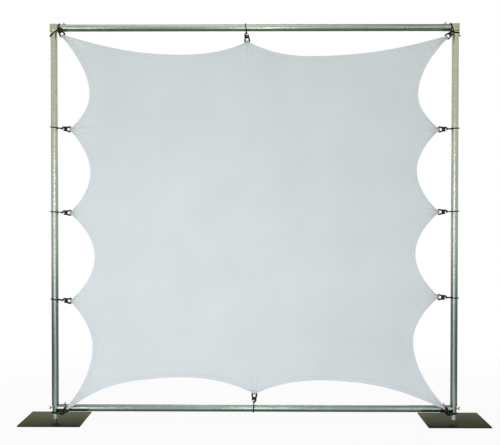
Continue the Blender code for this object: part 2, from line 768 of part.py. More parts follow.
def bottom_corner_route(side, eye):
    """Flat round the neck under the rail, and back in front of the rail to the eye."""
    neck_round = wrap_radius(NECK_RADIUS)
    inset = POST_X - abs(eye.x)
    front = eye.y - EYE_BEND_RUN
    rear = eye.y + EYE_BEND_RUN
    over_lug = inset - EYE_RADIUS - CORD_RADIUS
    level = eye.z - BOTTOM_RAIL_Z
    behind = tangent_corner(neck_round, inset, rear)
    before = -tangent_corner(neck_round, -front, -over_lug)
    corners = [
        (inset, rear, level, EYE_BEND_RADIUS),
        (inset, front, level, EYE_BEND_RADIUS),
        (over_lug, front, level, EYE_BEND_RADIUS),
        (-neck_round, before, level, neck_round),
        (-neck_round, neck_round, level, neck_round),
        (behind, neck_round, level, neck_round),
    ]
    return placed_loop(side, BOTTOM_RAIL_Z, corners)


# Clamps, with their long axis on X, the fixed arm on +Y and the pivot pin on Z
def jaw_outline(handle_end):
    """One arm: a handle, a waist at the pivot, and a jaw with teeth that bows out round the bunch."""
    outer_handle = HANDLE_GAP + HANDLE_THICKNESS
    outer_jaw = JAW_GRIP + JAW_THICKNESS
    grip_start = JAW_REACH * GRIP_START_SHARE
    tooth = (JAW_REACH - grip_start) / 2
    inner = [
        (-handle_end, HANDLE_GAP + TOOTH_DEPTH),
        (KNUCKLE_RADIUS, HANDLE_GAP),
        (grip_start, JAW_GRIP),
    ]
    inner += [(grip_start + tooth, JAW_GRIP + TOOTH_DEPTH), (JAW_REACH, JAW_GRIP)]
    outer = [
        (JAW_REACH, (JAW_GRIP + outer_jaw) / 2),
        (JAW_REACH - TOOTH_DEPTH * 3, outer_jaw),
        (grip_start, outer_jaw),
        (KNUCKLE_RADIUS, outer_handle + TOOTH_DEPTH),
        (-KNUCKLE_RADIUS, outer_handle - TOOTH_DEPTH),
        (-handle_end, outer_handle),
    ]
    return inner + outer


def knuckle_outline(reach, *rear):
    """A round knuckle at the pivot with a web up to its arm, which runs back by the given reach."""
    web = HANDLE_GAP + HANDLE_THICKNESS / 2
    round_side = arc((0, 0), KNUCKLE_RADIUS, math.pi, 2 * math.pi, KNUCKLE_SPANS)
    return [*round_side, (KNUCKLE_RADIUS, web), (-reach, web), *rear]


def cheek_outline():
    """The body's knuckle with a guard beside the spring, which stays clear of the pressed lever."""
    return knuckle_outline(GUARD_REACH, (-GUARD_REACH, GUARD_LEVEL))


def eye_outline():
    """A tail that curls from the end of the fixed handle round the eye for the cord."""
    centre = (-EYE_REACH, 0)
    top = HANDLE_GAP + HANDLE_THICKNESS / 2
    ring = arc(centre, EYE_RADIUS, math.radians(140), math.radians(385), EYE_SPANS)
    return ring + [
        (-HANDLE_REACH + TOOTH_DEPTH, top - HANDLE_THICKNESS / 3),
        (-HANDLE_REACH + HANDLE_THICKNESS / 2, top),
        (-HANDLE_REACH - TOOTH_DEPTH, top + HANDLE_THICKNESS / 3),
    ]


def mirrored(outline):
    return [(along, -across) for along, across in reversed(outline)]


def clamp_body_mesh():
    arm = flat_mesh("clamp_arm", [jaw_outline(HANDLE_REACH)], CLAMP_WIDTH)
    hole = arc((-EYE_REACH, 0), EYE_HOLE_RADIUS, 0, -2 * math.pi, EYE_HOLE_SIDES)[:-1]
    tail = flat_mesh("clamp_eye", [eye_outline(), hole], EYE_WIDTH)
    cheek_width = CLAMP_WIDTH / 2 - KNUCKLE_WIDTH / 2 - FIT_GAP * 2
    level = KNUCKLE_WIDTH / 2 + FIT_GAP + cheek_width / 2
    pin_half = CLAMP_WIDTH / 2 + PIVOT_HEAD
    pin = rod_mesh("pivot_pin", PIVOT_RADIUS, -pin_half, pin_half, PIVOT_SIDES)
    here = Matrix.Identity(4)
    additions = [(tail, here)]
    for turn in BOTH_SIDES:
        additions.append((flat_mesh("clamp_cheek", [cheek_outline()], cheek_width, turn * level), here))
    return joined_mesh("clamp_body", arm, [*additions, (pin, here)])


def stop_outline():
    """A block inside the lever's handle that meets the body's handle before the spring is overrun."""
    root = HANDLE_GAP + HANDLE_THICKNESS / 2
    return [(-STOP_END, STOP_LEVEL), (-STOP_START, STOP_LEVEL), (-STOP_START, root), (-STOP_END, root)]


def clamp_lever_mesh():
    arm = flat_mesh("lever_arm", [mirrored(jaw_outline(LEVER_REACH))], CLAMP_WIDTH)
    bore = arc((0, 0), PIVOT_RADIUS + FIT_GAP * 2, 0, -2 * math.pi, EYE_HOLE_SIDES)[:-1]
    outline = mirrored(knuckle_outline(KNUCKLE_RADIUS))
    knuckle = flat_mesh("lever_knuckle", [outline, bore], KNUCKLE_WIDTH)
    stop = flat_mesh("lever_stop", [mirrored(stop_outline())], KNUCKLE_WIDTH)
    here = Matrix.Identity(4)
    return joined_mesh("clamp_lever", arm, [(knuckle, here), (stop, here)])


def make_ties(ties):
    body = clamp_body_mesh()
    lever = clamp_lever_mesh()
    for entry in ties:
        name = entry["name"]
        add_part(f"{name}_clamp_body", body, entry["place"], CLAMP_FINISH)
        add_part(f"{name}_clamp_lever", lever, entry["place"], CLAMP_FINISH)
        curve = bpy.data.curves.new(f"{name}_cord", "CURVE")
        curve.dimensions = "3D"
        curve.bevel_depth = CORD_RADIUS
        curve.bevel_resolution = CORD_RESOLUTION
        spline = curve.splines.new("POLY")
        spline.points.add(len(entry["route"]) - 1)
        for point, place in zip(spline.points, entry["route"]):
            point.co = (*place, 1)
        spline.use_cyclic_u = True
        add_part(f"{name}_cord", curve, Matrix.Identity(4), CORD_FINISH)


# Sheet
def scallop(start, end, inwards, shares, spans):
    """The places between two tips along one scalloped edge, ends left out."""
    deepest_share, depth_share, start_fullness, end_fullness = shares
    chord = end - start
    points = []
    for i in range(1, spans):
        t = (1 - math.cos(math.pi * i / spans)) / 2
        if t < deepest_share:
            rise_share = 1 - (1 - t / deepest_share) ** start_fullness
        else:
            rise_share = 1 - (1 - (1 - t) / (1 - deepest_share)) ** end_fullness
        points.append(start + chord * t + inwards * (chord.length * depth_share * rise_share))
    return points


def edge_of_sheet(ends, middles, inwards, shares, spans):
    """One edge from corner to corner. Each tip is a mouth before the jaws and a tail between them."""
    first, last = ends
    way = (last["mouth"] - first["mouth"]).normalized()
    stops = [first, *middles, last]
    points = [bunch_point(first, BUNCH_TAIL, 0, way)]
    for number, (low, high) in enumerate(zip(stops, stops[1:])):
        start = bunch_point(low, 0, BUNCH_HALF_WIDTH, way)
        end = bunch_point(high, 0, BUNCH_HALF_WIDTH, -way)
        points.append(start)
        points += scallop(start, end, inwards, shares[number], spans)
        points.append(end)
        if high is not last:
            points += [bunch_point(high, BUNCH_TAIL, BUNCH_TAIL_HALF_WIDTH, turn) for turn in (-way, way)]
    return points + [bunch_point(last, BUNCH_TAIL, 0, way)]


def bunch_point(entry, run_in, half_width, way):
    """A point of a tip, as far towards its clamp as given, and to the side that lies on the way."""
    turn = 1 if entry["across"].dot(way) > 0 else -1
    return entry["mouth"] - entry["along"] * run_in + entry["across"] * (turn * half_width)


def shares_along(low_edge, high_edge, axis):
    """How far along each place of two facing edges lies, as shares that grow from zero to one."""
    result = []
    for low, high in zip(low_edge, high_edge):
        low_share = (low[axis] - low_edge[0][axis]) / (low_edge[-1][axis] - low_edge[0][axis])
        high_share = (high[axis] - high_edge[0][axis]) / (high_edge[-1][axis] - high_edge[0][axis])
        result.append((low_share + high_share) / 2)
    return result


def sheet_edges(ties):
    """The four scalloped edges, from left to right and from bottom to top."""
    by_name = {entry["name"]: entry for entry in ties}
    words = [(low, side) for low in ("bottom", "top") for side in ("left", "right")]
    corner = {pair: by_name["_".join(pair)] for pair in words}
    edges = {}
    for side, inwards, shares in (
        ("left", Vector((1, 0, 0)), LEFT_SCALLOP_SHARES),
        ("right", Vector((-1, 0, 0)), RIGHT_SCALLOP_SHARES),
    ):
        middles = [by_name[f"{side}_{level}"] for level in ("lower", "middle", "upper")]
        ends = (corner["bottom", side], corner["top", side])
        edges[side] = edge_of_sheet(ends, middles, inwards, shares, SIDE_SCALLOP_SPANS)
    for low, inwards, shares in (
        ("bottom", Vector((0, 0, 1)), BOTTOM_SCALLOP_SHARES),
        ("top", Vector((0, 0, -1)), TOP_SCALLOP_SHARES),
    ):
        ends = (corner[low, "left"], corner[low, "right"])
        edges[low] = edge_of_sheet(ends, [by_name[f"{low}_middle"]], inwards, shares, LONG_SCALLOP_SPANS)
    return edges


def sheet_place(edges, i, j, shares):
    """A place of the sheet's net. Its lines start at the tips and spread evenly further in."""
    left, right, bottom, top = (edges[k] for k in ("left", "right", "bottom", "top"))
    across_shares, up_shares = shares
    u, v = across_shares[i], up_shares[j]
    even_u = u + (i / (len(bottom) - 1) - u) * (1 - fade_share(min(v, 1 - v), SPREAD_SHARE))
    even_v = v + (j / (len(left) - 1) - v) * (1 - fade_share(min(u, 1 - u), SPREAD_SHARE))
    low = bottom[0] * (1 - even_u) + bottom[-1] * even_u
    high = top[0] * (1 - even_u) + top[-1] * even_u
    place = left[j] * (1 - even_u) + right[j] * even_u
    place += (bottom[i] - low) * (1 - even_v) + (top[i] - high) * even_v
    place.x += (even_u - u) * (bottom[-1].x - bottom[0].x)
    place.z += (even_v - v) * (left[-1].z - left[0].z)
    return place


def make_sheet(ties):
    edges = sheet_edges(ties)
    for edge in edges.values():
        for point in edge:
            point.y = 0
    across_shares = shares_along(edges["bottom"], edges["top"], 0)
    up_shares = shares_along(edges["left"], edges["right"], 2)
    shares = (across_shares, up_shares)
    columns = len(edges["bottom"]) - 1
    rows = len(edges["left"]) - 1
    corners = [entry["mouth"] for entry in ties if abs(entry["mouth"].y) > 0]
    tips = [entry["mouth"] for entry in ties]
    work = bmesh.new()
    bmesh.ops.create_grid(work, x_segments=columns, y_segments=rows, size=1)
    weights = {}
    for vertex in work.verts:
        i = round((vertex.co.x + 1) / 2 * columns)
        j = round((vertex.co.y + 1) / 2 * rows)
        place = sheet_place(edges, i, j, shares)
        weights[vertex.index] = max(fade_share(flat_distance(place, tip), BUNCH_RUN) for tip in tips)
        pulls = [corner.y * fade_share(flat_distance(place, corner), CORNER_BLEND) for corner in corners]
        place.y = sum(pulls)
        vertex.co = place
    data = bpy.data.meshes.new("stretch_fabric")
    work.to_mesh(data)
    work.free()
    sheet = add_part("stretch_fabric", data, Matrix.Identity(4), SHEET_FINISH)
    group = sheet.vertex_groups.new(name="bunched")
    for index, weight in weights.items():
        group.add([index], weight, "REPLACE")
    shell = sheet.modifiers.new("cloth", "SOLIDIFY")
    shell.thickness = BUNCH_THICKNESS
    shell.offset = 0
    shell.vertex_group = group.name
    shell.thickness_vertex_group = SHEET_THICKNESS / BUNCH_THICKNESS
    smooth_round(data)


def flat_distance(one, other):
    return math.hypot(one.x - other.x, one.z - other.z)


def fade_share(distance, run):
    """One at zero distance, falling smoothly to zero at the end of the run."""
    t = min(distance / run, 1)
    return 1 - t * t * (3 - 2 * t)


TIES = side_ties() + middle_ties() + corner_ties()
make_pipes()
make_fittings()
make_wing_screws()
make_bases()
make_ties(TIES)
make_sheet(TIES)
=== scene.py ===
import math

import bmesh
import bpy
from mathutils import Matrix, Vector


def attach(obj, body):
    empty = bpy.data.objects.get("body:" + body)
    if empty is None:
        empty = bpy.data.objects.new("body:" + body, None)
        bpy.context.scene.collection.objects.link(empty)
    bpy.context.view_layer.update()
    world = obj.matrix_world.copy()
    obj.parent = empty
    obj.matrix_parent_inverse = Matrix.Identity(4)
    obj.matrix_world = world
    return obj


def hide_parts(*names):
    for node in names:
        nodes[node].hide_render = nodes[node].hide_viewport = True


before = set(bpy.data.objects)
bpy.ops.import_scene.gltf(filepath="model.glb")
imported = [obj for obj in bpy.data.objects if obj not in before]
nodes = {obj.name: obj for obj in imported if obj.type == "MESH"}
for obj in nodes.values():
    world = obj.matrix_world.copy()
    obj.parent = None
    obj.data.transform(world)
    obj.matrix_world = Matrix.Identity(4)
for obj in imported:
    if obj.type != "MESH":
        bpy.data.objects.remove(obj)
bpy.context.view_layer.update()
mainBody = "screen_frame"
mm = 0.001

# The screen's own sizes, as the solids have them
screenSize = {
    "postX": 1.219,
    "bottomRailZ": 0.0732,
    "topRailZ": 2.3932,
    "pipeRadius": 0.0211,
    "collarRadius": 0.0227,
    "neckRadius": 0.018,
    "hubHalf": 0.023,
}
postX = screenSize["postX"]
topRailZ = screenSize["topRailZ"]
bottomRailZ = screenSize["bottomRailZ"]
railRise = topRailZ - bottomRailZ


# Camera, floor and light

photoCamera = {
    "place": (0.0266, -5.3688, 1.3026), "turn": -0.0097, "tilt": -0.0172, "roll": 0.0005,
    "lens": 63.38, "sensorWidth": 36, "clipEnd": 60,
}


def makeCamera():
    data = bpy.data.cameras.new("photoCamera")
    data.lens = photoCamera["lens"]
    data.sensor_width = photoCamera["sensorWidth"]
    data.sensor_fit = "HORIZONTAL"
    data.clip_end = photoCamera["clipEnd"]
    camera = bpy.data.objects.new("photoCamera", data)
    bpy.context.scene.collection.objects.link(camera)
    turn, tilt = photoCamera["turn"], photoCamera["tilt"]
    ahead = Vector((math.sin(turn) * math.cos(tilt), math.cos(turn) * math.cos(tilt), math.sin(tilt)))
    look = ahead.to_track_quat("-Z", "Y").to_matrix().to_4x4() @ Matrix.Rotation(photoCamera["roll"], 4, "Z")
    look.translation = Vector(photoCamera["place"])
    camera.matrix_world = look
    bpy.context.scene.camera = camera


def newMaterial(name):
    made = bpy.data.materials.new(name)
    made.use_nodes = True
    made.node_tree.nodes.clear()
    return made


def addNode(tree, kind, x=0, y=0, **settings):
    made = tree.nodes.new(kind)
    made.location = (x, y)
    for key, value in settings.items():
        setattr(made, key, value)
    return made


def link(tree, pairs):
    for source, target in pairs:
        tree.links.new(source, target)


def mathNode(tree, operation, x, y, first=None, second=None):
    made = addNode(tree, "ShaderNodeMath", x, y, operation=operation)
    for socket, value in zip(made.inputs, (first, second)):
        if value is None:
            continue
        if isinstance(value, (int, float)):
            socket.default_value = value
        else:
            tree.links.new(value, socket)
    return made


def noiseNode(tree, x, y, place, scale, detail=4.0, rough=0.55):
    made = addNode(tree, "ShaderNodeTexNoise", x, y)
    made.inputs["Detail"].default_value = detail
    made.inputs["Roughness"].default_value = rough
    tree.links.new(place, made.inputs["Vector"])
    if isinstance(scale, (int, float)):
        made.inputs["Scale"].default_value = scale
    else:
        tree.links.new(scale, made.inputs["Scale"])
    return made


def rangeNode(tree, x, y, value, low, high, toLow=0.0, toHigh=1.0, smooth=False):
    way = "SMOOTHSTEP" if smooth else "LINEAR"
    made = addNode(tree, "ShaderNodeMapRange", x, y, interpolation_type=way)
    tree.links.new(value, made.inputs["Value"])
    for label, number in (("From Min", low), ("From Max", high), ("To Min", toLow), ("To Max", toHigh)):
        if isinstance(number, (int, float)):
            made.inputs[label].default_value = number
        else:
            tree.links.new(number, made.inputs[label])
    return made


def colorMix(tree, x, y, factor, first, second, blend="MIX"):
    made = addNode(tree, "ShaderNodeMix", x, y, data_type="RGBA", blend_type=blend)
    sockets = (made.inputs["Factor"], made.inputs[6], made.inputs[7])
    for socket, value in zip(sockets, (factor, first, second)):
        if isinstance(value, (int, float)):
            socket.default_value = value
        elif isinstance(value, tuple):
            socket.default_value = (*value, 1)
        else:
            tree.links.new(value, socket)
    return made


stageLook = {
    "floorColor": (0.94, 0.94, 0.94), "floorSize": 24.0, "floorDrop": 0.5 * mm,
    "whiteNear": 0.90, "whiteFar": 1.0, "nearReach": 1.5, "farReach": 3.4,
    "worldStrength": 0.45, "roomLeft": 0.95, "roomRight": 0.92, "roomRays": (-0.5, 0.8),
    "ceilingShare": 0.45, "ceilingRays": (0.6, 1.0),
    "backdropRays": (0.60, 0.88), "backdropRight": 0.74, "backdropFall": (-0.3, 0.3),
}
# What metal mirrors of the floor: its two shades, and the ray directions and reach between which they change
floorMirror = {
    "front": (0.90, 0.98, 0.95), "side": (0.17, 0.205, 0.195),
    "aheadRays": (0.35, 0.90), "steepRays": (0.35, 0.75), "centreReach": (1.0, 2.1),
    "behindRays": (-0.85, -0.60), "lowRays": (0.30, 0.50),
}
white = (1, 1, 1)


def whiteRays(tree, x, y):
    # One where the ray comes from the camera, from a shiny surface or through a clear one
    ray = addNode(tree, "ShaderNodeLightPath", x, y)
    seen = mathNode(tree, "MAXIMUM", x + 200, y, ray.outputs["Is Camera Ray"], ray.outputs["Is Glossy Ray"])
    return mathNode(tree, "MAXIMUM", x + 400, y, seen.outputs[0], ray.outputs["Is Transmission Ray"]).outputs[0]


def mirroredFloor(tree, place):
    # Metal shows the floor pale ahead of the screen, dim to the sides and below, and white far behind it
    rays = addNode(tree, "ShaderNodeNewGeometry", -1200, -600)
    way = addNode(tree, "ShaderNodeSeparateXYZ", -1000, -600)
    spot = addNode(tree, "ShaderNodeSeparateXYZ", -1200, -900)
    link(tree, [(rays.outputs["Incoming"], way.inputs[0]), (place, spot.inputs[0])])
    offCentre = mathNode(tree, "ABSOLUTE", -1000, -900, spot.outputs["X"])
    rayY, rayZ = way.outputs["Y"], way.outputs["Z"]
    shares = [rangeNode(tree, -800, -600, rayY, *floorMirror["aheadRays"], smooth=True).outputs[0]]
    for value, name in (
        (offCentre.outputs[0], "centreReach"), (rayZ, "steepRays"), (rayY, "behindRays"), (rayZ, "lowRays"),
    ):
        y = -600 - 300 * len(shares)
        shares.append(rangeNode(tree, -800, y, value, *floorMirror[name], 1.0, 0.0, smooth=True).outputs[0])
    ahead, central, level, behind, low = shares
    middle = mathNode(tree, "MULTIPLY", -650, -600, ahead, central)
    front = mathNode(tree, "MULTIPLY", -650, -800, middle.outputs[0], level)
    rear = mathNode(tree, "MULTIPLY", -650, -1000, behind, low)
    near = colorMix(tree, -500, -600, front.outputs[0], floorMirror["side"], floorMirror["front"])
    whole = colorMix(tree, -300, -600, rear.outputs[0], near.outputs[2], white)
    shiny = addNode(tree, "ShaderNodeLightPath", -500, -1200)
    return colorMix(tree, -100, -600, shiny.outputs["Is Glossy Ray"], white, whole.outputs[2]).outputs[2]


def makeFloor():
    mesh = bpy.data.meshes.new("floor")
    half = stageLook["floorSize"] / 2
    corners = [(-half, -half, 0), (half, -half, 0), (half, half, 0), (-half, half, 0)]
    mesh.from_pydata(corners, [], [(0, 1, 2, 3)])
    floor = bpy.data.objects.new("floor", mesh)
    floor.location.z = -stageLook["floorDrop"]
    bpy.context.scene.collection.objects.link(floor)
    look = newMaterial("paleFloor")
    tree = look.node_tree
    out = addNode(tree, "ShaderNodeOutputMaterial", 900)
    paint = addNode(tree, "ShaderNodeBsdfDiffuse", 300, 100)
    paint.inputs["Color"].default_value = (*stageLook["floorColor"], 1)
    glow = addNode(tree, "ShaderNodeEmission", 300, -100)
    glow.inputs["Strength"].default_value = 1.0
    # The floor keeps the shadow near the screen and runs out to plain white further off
    place = addNode(tree, "ShaderNodeTexCoord", -600, -300)
    reach = addNode(tree, "ShaderNodeVectorMath", -400, -300, operation="LENGTH")
    fade = rangeNode(tree, -200, -300, reach.outputs["Value"], stageLook["nearReach"], stageLook["farReach"],
                     stageLook["whiteNear"], stageLook["whiteFar"], smooth=True)
    share = mathNode(tree, "MULTIPLY", 0, 300, whiteRays(tree, -600, 300), fade.outputs[0])
    mix = addNode(tree, "ShaderNodeMixShader", 600)
    link(tree, [(place.outputs["Object"], reach.inputs[0]), (share.outputs[0], mix.inputs[0]),
                (mirroredFloor(tree, place.outputs["Object"]), glow.inputs["Color"]),
                (paint.outputs[0], mix.inputs[1]), (glow.outputs[0], mix.inputs[2]),
                (mix.outputs[0], out.inputs["Surface"])])
    mesh.materials.append(look)


def makeRoom():
    world = bpy.data.worlds.new("studio")
    bpy.context.scene.world = world
    world.use_nodes = True
    tree = world.node_tree
    tree.nodes.clear()
    out = addNode(tree, "ShaderNodeOutputWorld", 600)
    soft = addNode(tree, "ShaderNodeBackground", 0, 100)
    soft.inputs["Color"].default_value = (*white, 1)
    soft.inputs["Strength"].default_value = stageLook["worldStrength"]
    # Metal shows the white backdrop where it stands, and the dimmer room to the sides and in front of it
    place = addNode(tree, "ShaderNodeTexCoord", -1100, -300)
    way = addNode(tree, "ShaderNodeSeparateXYZ", -900, -300)
    tree.links.new(place.outputs["Generated"], way.inputs[0])
    room = rangeNode(tree, -700, -400, way.outputs["X"], *stageLook["roomRays"],
                     stageLook["roomLeft"], stageLook["roomRight"], smooth=True)
    ceiling = rangeNode(tree, -700, -700, way.outputs["Z"], *stageLook["ceilingRays"],
                        1.0, stageLook["ceilingShare"], smooth=True)
    dimmed = mathNode(tree, "MULTIPLY", -600, -500, room.outputs[0], ceiling.outputs[0])
    fall = rangeNode(tree, -700, -1000, way.outputs["X"], *stageLook["backdropFall"],
                     1.0, stageLook["backdropRight"], smooth=True)
    backdrop = rangeNode(tree, -500, -200, way.outputs["Y"], *stageLook["backdropRays"],
                         dimmed.outputs[0], fall.outputs[0], smooth=True)
    ray = addNode(tree, "ShaderNodeLightPath", -500, -600)
    plain = mathNode(tree, "SUBTRACT", -300, -600, 1.0, ray.outputs["Is Glossy Ray"])
    level = mathNode(tree, "MAXIMUM", -200, -300, backdrop.outputs[0], plain.outputs[0])
    bright = addNode(tree, "ShaderNodeBackground", 0, -100)
    bright.inputs["Color"].default_value = (*white, 1)
    mix = addNode(tree, "ShaderNodeMixShader", 300)
    link(tree, [(level.outputs[0], bright.inputs["Strength"]), (whiteRays(tree, -700, 300), mix.inputs[0]),
                (soft.outputs[0], mix.inputs[1]), (bright.outputs[0], mix.inputs[2]),
                (mix.outputs[0], out.inputs["Surface"])])


softBoxes = [
    {"name": "keyLight", "place": (-0.75, -3.4, 0.65), "aim": (-0.45, 0, 0.85),
     "size": (1.8, 1.4), "power": 36, "mirrored": False},
    {"name": "stripLight", "place": (0.0, -3.8, 1.15), "aim": (0, 0, 1.1),
     "size": (0.40, 1.9), "power": 10},
    {"name": "fillLight", "place": (-2.4, -5.6, 0.9), "aim": (-0.2, 0, 0.7),
     "size": (0.9, 1.8), "power": 26},
    {"name": "cameraPanel", "place": (0.25, -5.5, 1.55), "aim": (0, 0, 1.2),
     "size": (0.16, 0.16), "power": 5},
    {"name": "rightStrip", "place": (2.0, -5.8, 0.6), "aim": (0.4, 0, 0.5),
     "size": (0.5, 1.0), "power": 5},
    {"name": "topLight", "place": (-0.6, -0.5, 5.2), "aim": (0, 0, 0),
     "size": (3.6, 2.0), "power": 28},
    {"name": "backLight", "place": (0.5, 5.5, 3.2), "aim": (0, 0, 1.2),
     "size": (3.0, 3.0), "power": 110},
]


def makeLights():
    for box in softBoxes:
        data = bpy.data.lights.new(box["name"], "AREA")
        data.shape = "RECTANGLE"
        data.size, data.size_y = box["size"]
        data.energy = box["power"]
        lamp = bpy.data.objects.new(box["name"], data)
        bpy.context.scene.collection.objects.link(lamp)
        lamp.location = box["place"]
        lamp.visible_camera = False
        lamp.visible_glossy = box.get("mirrored", True)
        lamp.rotation_euler = (Vector(box["aim"]) - lamp.location).to_track_quat("-Z", "Y").to_euler()


makeCamera()
makeFloor()
makeRoom()
makeLights()
print("camera, floor and light made")


# Shader node groups that several finishes share

def newGroup(name, inputs, outputs):
    tree = bpy.data.node_groups.new(name, "ShaderNodeTree")
    for label, kind, value in inputs:
        socket = tree.interface.new_socket(label, in_out="INPUT", socket_type=kind)
        if value is not None:
            socket.default_value = value
    for label, kind in outputs:
        tree.interface.new_socket(label, in_out="OUTPUT", socket_type=kind)
    start = addNode(tree, "NodeGroupInput", -1000)
    end = addNode(tree, "NodeGroupOutput", 1000)
    return tree, start, end


def makeMottle():
    # Zinc mottling: cloudy patches, small crystal flakes and a fine grain in the height, all from the piece's
    # own place
    tree, start, end = newGroup(
        "zincMottle",
        [("Dark", "NodeSocketColor", (0.3, 0.32, 0.3, 1)),
         ("Light", "NodeSocketColor", (0.6, 0.62, 0.6, 1)),
         ("Patch Scale", "NodeSocketFloat", 22.0), ("Flake Scale", "NodeSocketFloat", 210.0)],
        [("Color", "NodeSocketColor"), ("Rough", "NodeSocketFloat"), ("Height", "NodeSocketFloat")],
    )
    place = addNode(tree, "ShaderNodeTexCoord", -800)
    patches = noiseNode(tree, -500, 300, place.outputs["Object"], start.outputs["Patch Scale"], 5.0, 0.6)
    flakes = addNode(tree, "ShaderNodeTexVoronoi", -500, 0, feature="F1")
    fine = noiseNode(tree, -500, -300, place.outputs["Object"], 900.0, 2.0, 0.5)
    link(tree, [(place.outputs["Object"], flakes.inputs["Vector"]),
                (start.outputs["Flake Scale"], flakes.inputs["Scale"])])
    flakeShade = addNode(tree, "ShaderNodeSeparateColor", -300)
    tree.links.new(flakes.outputs["Color"], flakeShade.inputs[0])
    cloud = rangeNode(tree, -250, 300, patches.outputs["Fac"], 0.3, 0.7)
    share = mathNode(tree, "MULTIPLY", 0, 0, flakeShade.outputs[0], 0.14)
    both = mathNode(tree, "MULTIPLY_ADD", 150, 200, cloud.outputs[0], 0.86)
    tree.links.new(share.outputs[0], both.inputs[2])
    shade = colorMix(tree, 400, 300, both.outputs[0], start.outputs["Dark"], start.outputs["Light"])
    rough = rangeNode(tree, 400, 0, both.outputs[0], 0.0, 1.0, 0.27, 0.23)
    height = mathNode(tree, "MULTIPLY_ADD", 400, -200, flakeShade.outputs[1], 0.5)
    tree.links.new(fine.outputs["Fac"], height.inputs[2])
    link(tree, [(shade.outputs[2], end.inputs["Color"]), (rough.outputs[0], end.inputs["Rough"]),
                (height.outputs[0], end.inputs["Height"])])
    return tree


def makeEdgeWear():
    # Worn edges, from how pointed the surface is
    tree, start, end = newGroup(
        "edgeWear",
        [("Color", "NodeSocketColor", (0.5, 0.5, 0.5, 1)),
         ("Worn Color", "NodeSocketColor", (0.7, 0.7, 0.7, 1)),
         ("Amount", "NodeSocketFloat", 0.5), ("Scale", "NodeSocketFloat", 60.0)],
        [("Color", "NodeSocketColor"), ("Mask", "NodeSocketFloat")],
    )
    shape = addNode(tree, "ShaderNodeNewGeometry", -800, 200)
    place = addNode(tree, "ShaderNodeTexCoord", -800, -100)
    spots = noiseNode(tree, -500, -100, place.outputs["Object"], start.outputs["Scale"], 6.0, 0.65)
    pointed = rangeNode(tree, -500, 200, shape.outputs["Pointiness"], 0.52, 0.62)
    broken = rangeNode(tree, -250, -100, spots.outputs["Fac"], 0.42, 0.6)
    mask = mathNode(tree, "MULTIPLY", 0, 100, pointed.outputs[0], broken.outputs[0])
    amount = mathNode(tree, "MULTIPLY", 200, 100, mask.outputs[0], start.outputs["Amount"])
    shade = colorMix(tree, 450, 200, amount.outputs[0], start.outputs["Color"], start.outputs["Worn Color"])
    link(tree, [(shade.outputs[2], end.inputs["Color"]), (amount.outputs[0], end.inputs["Mask"])])
    return tree


def makeDust():
    # A thin film of dust on what faces up, broken by smudges
    tree, start, end = newGroup(
        "dustFilm",
        [("Color", "NodeSocketColor", (0.5, 0.5, 0.5, 1)),
         ("Dust Color", "NodeSocketColor", (0.55, 0.55, 0.52, 1)),
         ("Amount", "NodeSocketFloat", 0.3), ("Scale", "NodeSocketFloat", 9.0)],
        [("Color", "NodeSocketColor"), ("Mask", "NodeSocketFloat")],
    )
    shape = addNode(tree, "ShaderNodeNewGeometry", -800, 200)
    place = addNode(tree, "ShaderNodeTexCoord", -800, -100)
    parts = addNode(tree, "ShaderNodeSeparateXYZ", -600, 200)
    upward = rangeNode(tree, -400, 200, parts.outputs["Z"], 0.2, 1.0)
    smudge = noiseNode(tree, -500, -100, place.outputs["Object"], start.outputs["Scale"], 7.0, 0.68)
    cover = rangeNode(tree, -250, -100, smudge.outputs["Fac"], 0.38, 0.72)
    both = mathNode(tree, "MULTIPLY", 0, 100, upward.outputs[0], cover.outputs[0])
    mask = mathNode(tree, "MULTIPLY", 200, 100, both.outputs[0], start.outputs["Amount"])
    shade = colorMix(tree, 450, 200, mask.outputs[0], start.outputs["Color"], start.outputs["Dust Color"])
    link(tree, [(shape.outputs["True Normal"], parts.inputs[0]), (shade.outputs[2], end.inputs["Color"]),
                (mask.outputs[0], end.inputs["Mask"])])
    return tree


def makePaintedHeightShade():
    # Painted light and shade by height: the tones change with the height, cooler and darker low down and warmer
    # near the top, as the light falls on the screen
    tree, start, end = newGroup(
        "paintedHeightShade",
        [("Color", "NodeSocketColor", (0.5, 0.5, 0.5, 1)), ("Low", "NodeSocketColor", (1, 1, 1, 1)),
         ("Middle", "NodeSocketColor", (1, 1, 1, 1)), ("High", "NodeSocketColor", (1, 1, 1, 1))],
        [("Color", "NodeSocketColor")],
    )
    place = addNode(tree, "ShaderNodeTexCoord", -800)
    parts = addNode(tree, "ShaderNodeSeparateXYZ", -600)
    tree.links.new(place.outputs["Object"], parts.inputs[0])
    lower = rangeNode(tree, -400, 200, parts.outputs["Z"], bottomRailZ, bottomRailZ + railRise / 2)
    upper = rangeNode(tree, -400, -100, parts.outputs["Z"], bottomRailZ + railRise / 2, topRailZ)
    first = colorMix(tree, -100, 200, lower.outputs[0], start.outputs["Low"], start.outputs["Middle"])
    second = colorMix(tree, 150, 100, upper.outputs[0], first.outputs[2], start.outputs["High"])
    shade = colorMix(tree, 400, 100, 1.0, start.outputs["Color"], second.outputs[2], blend="MULTIPLY")
    tree.links.new(shade.outputs[2], end.inputs["Color"])
    return tree


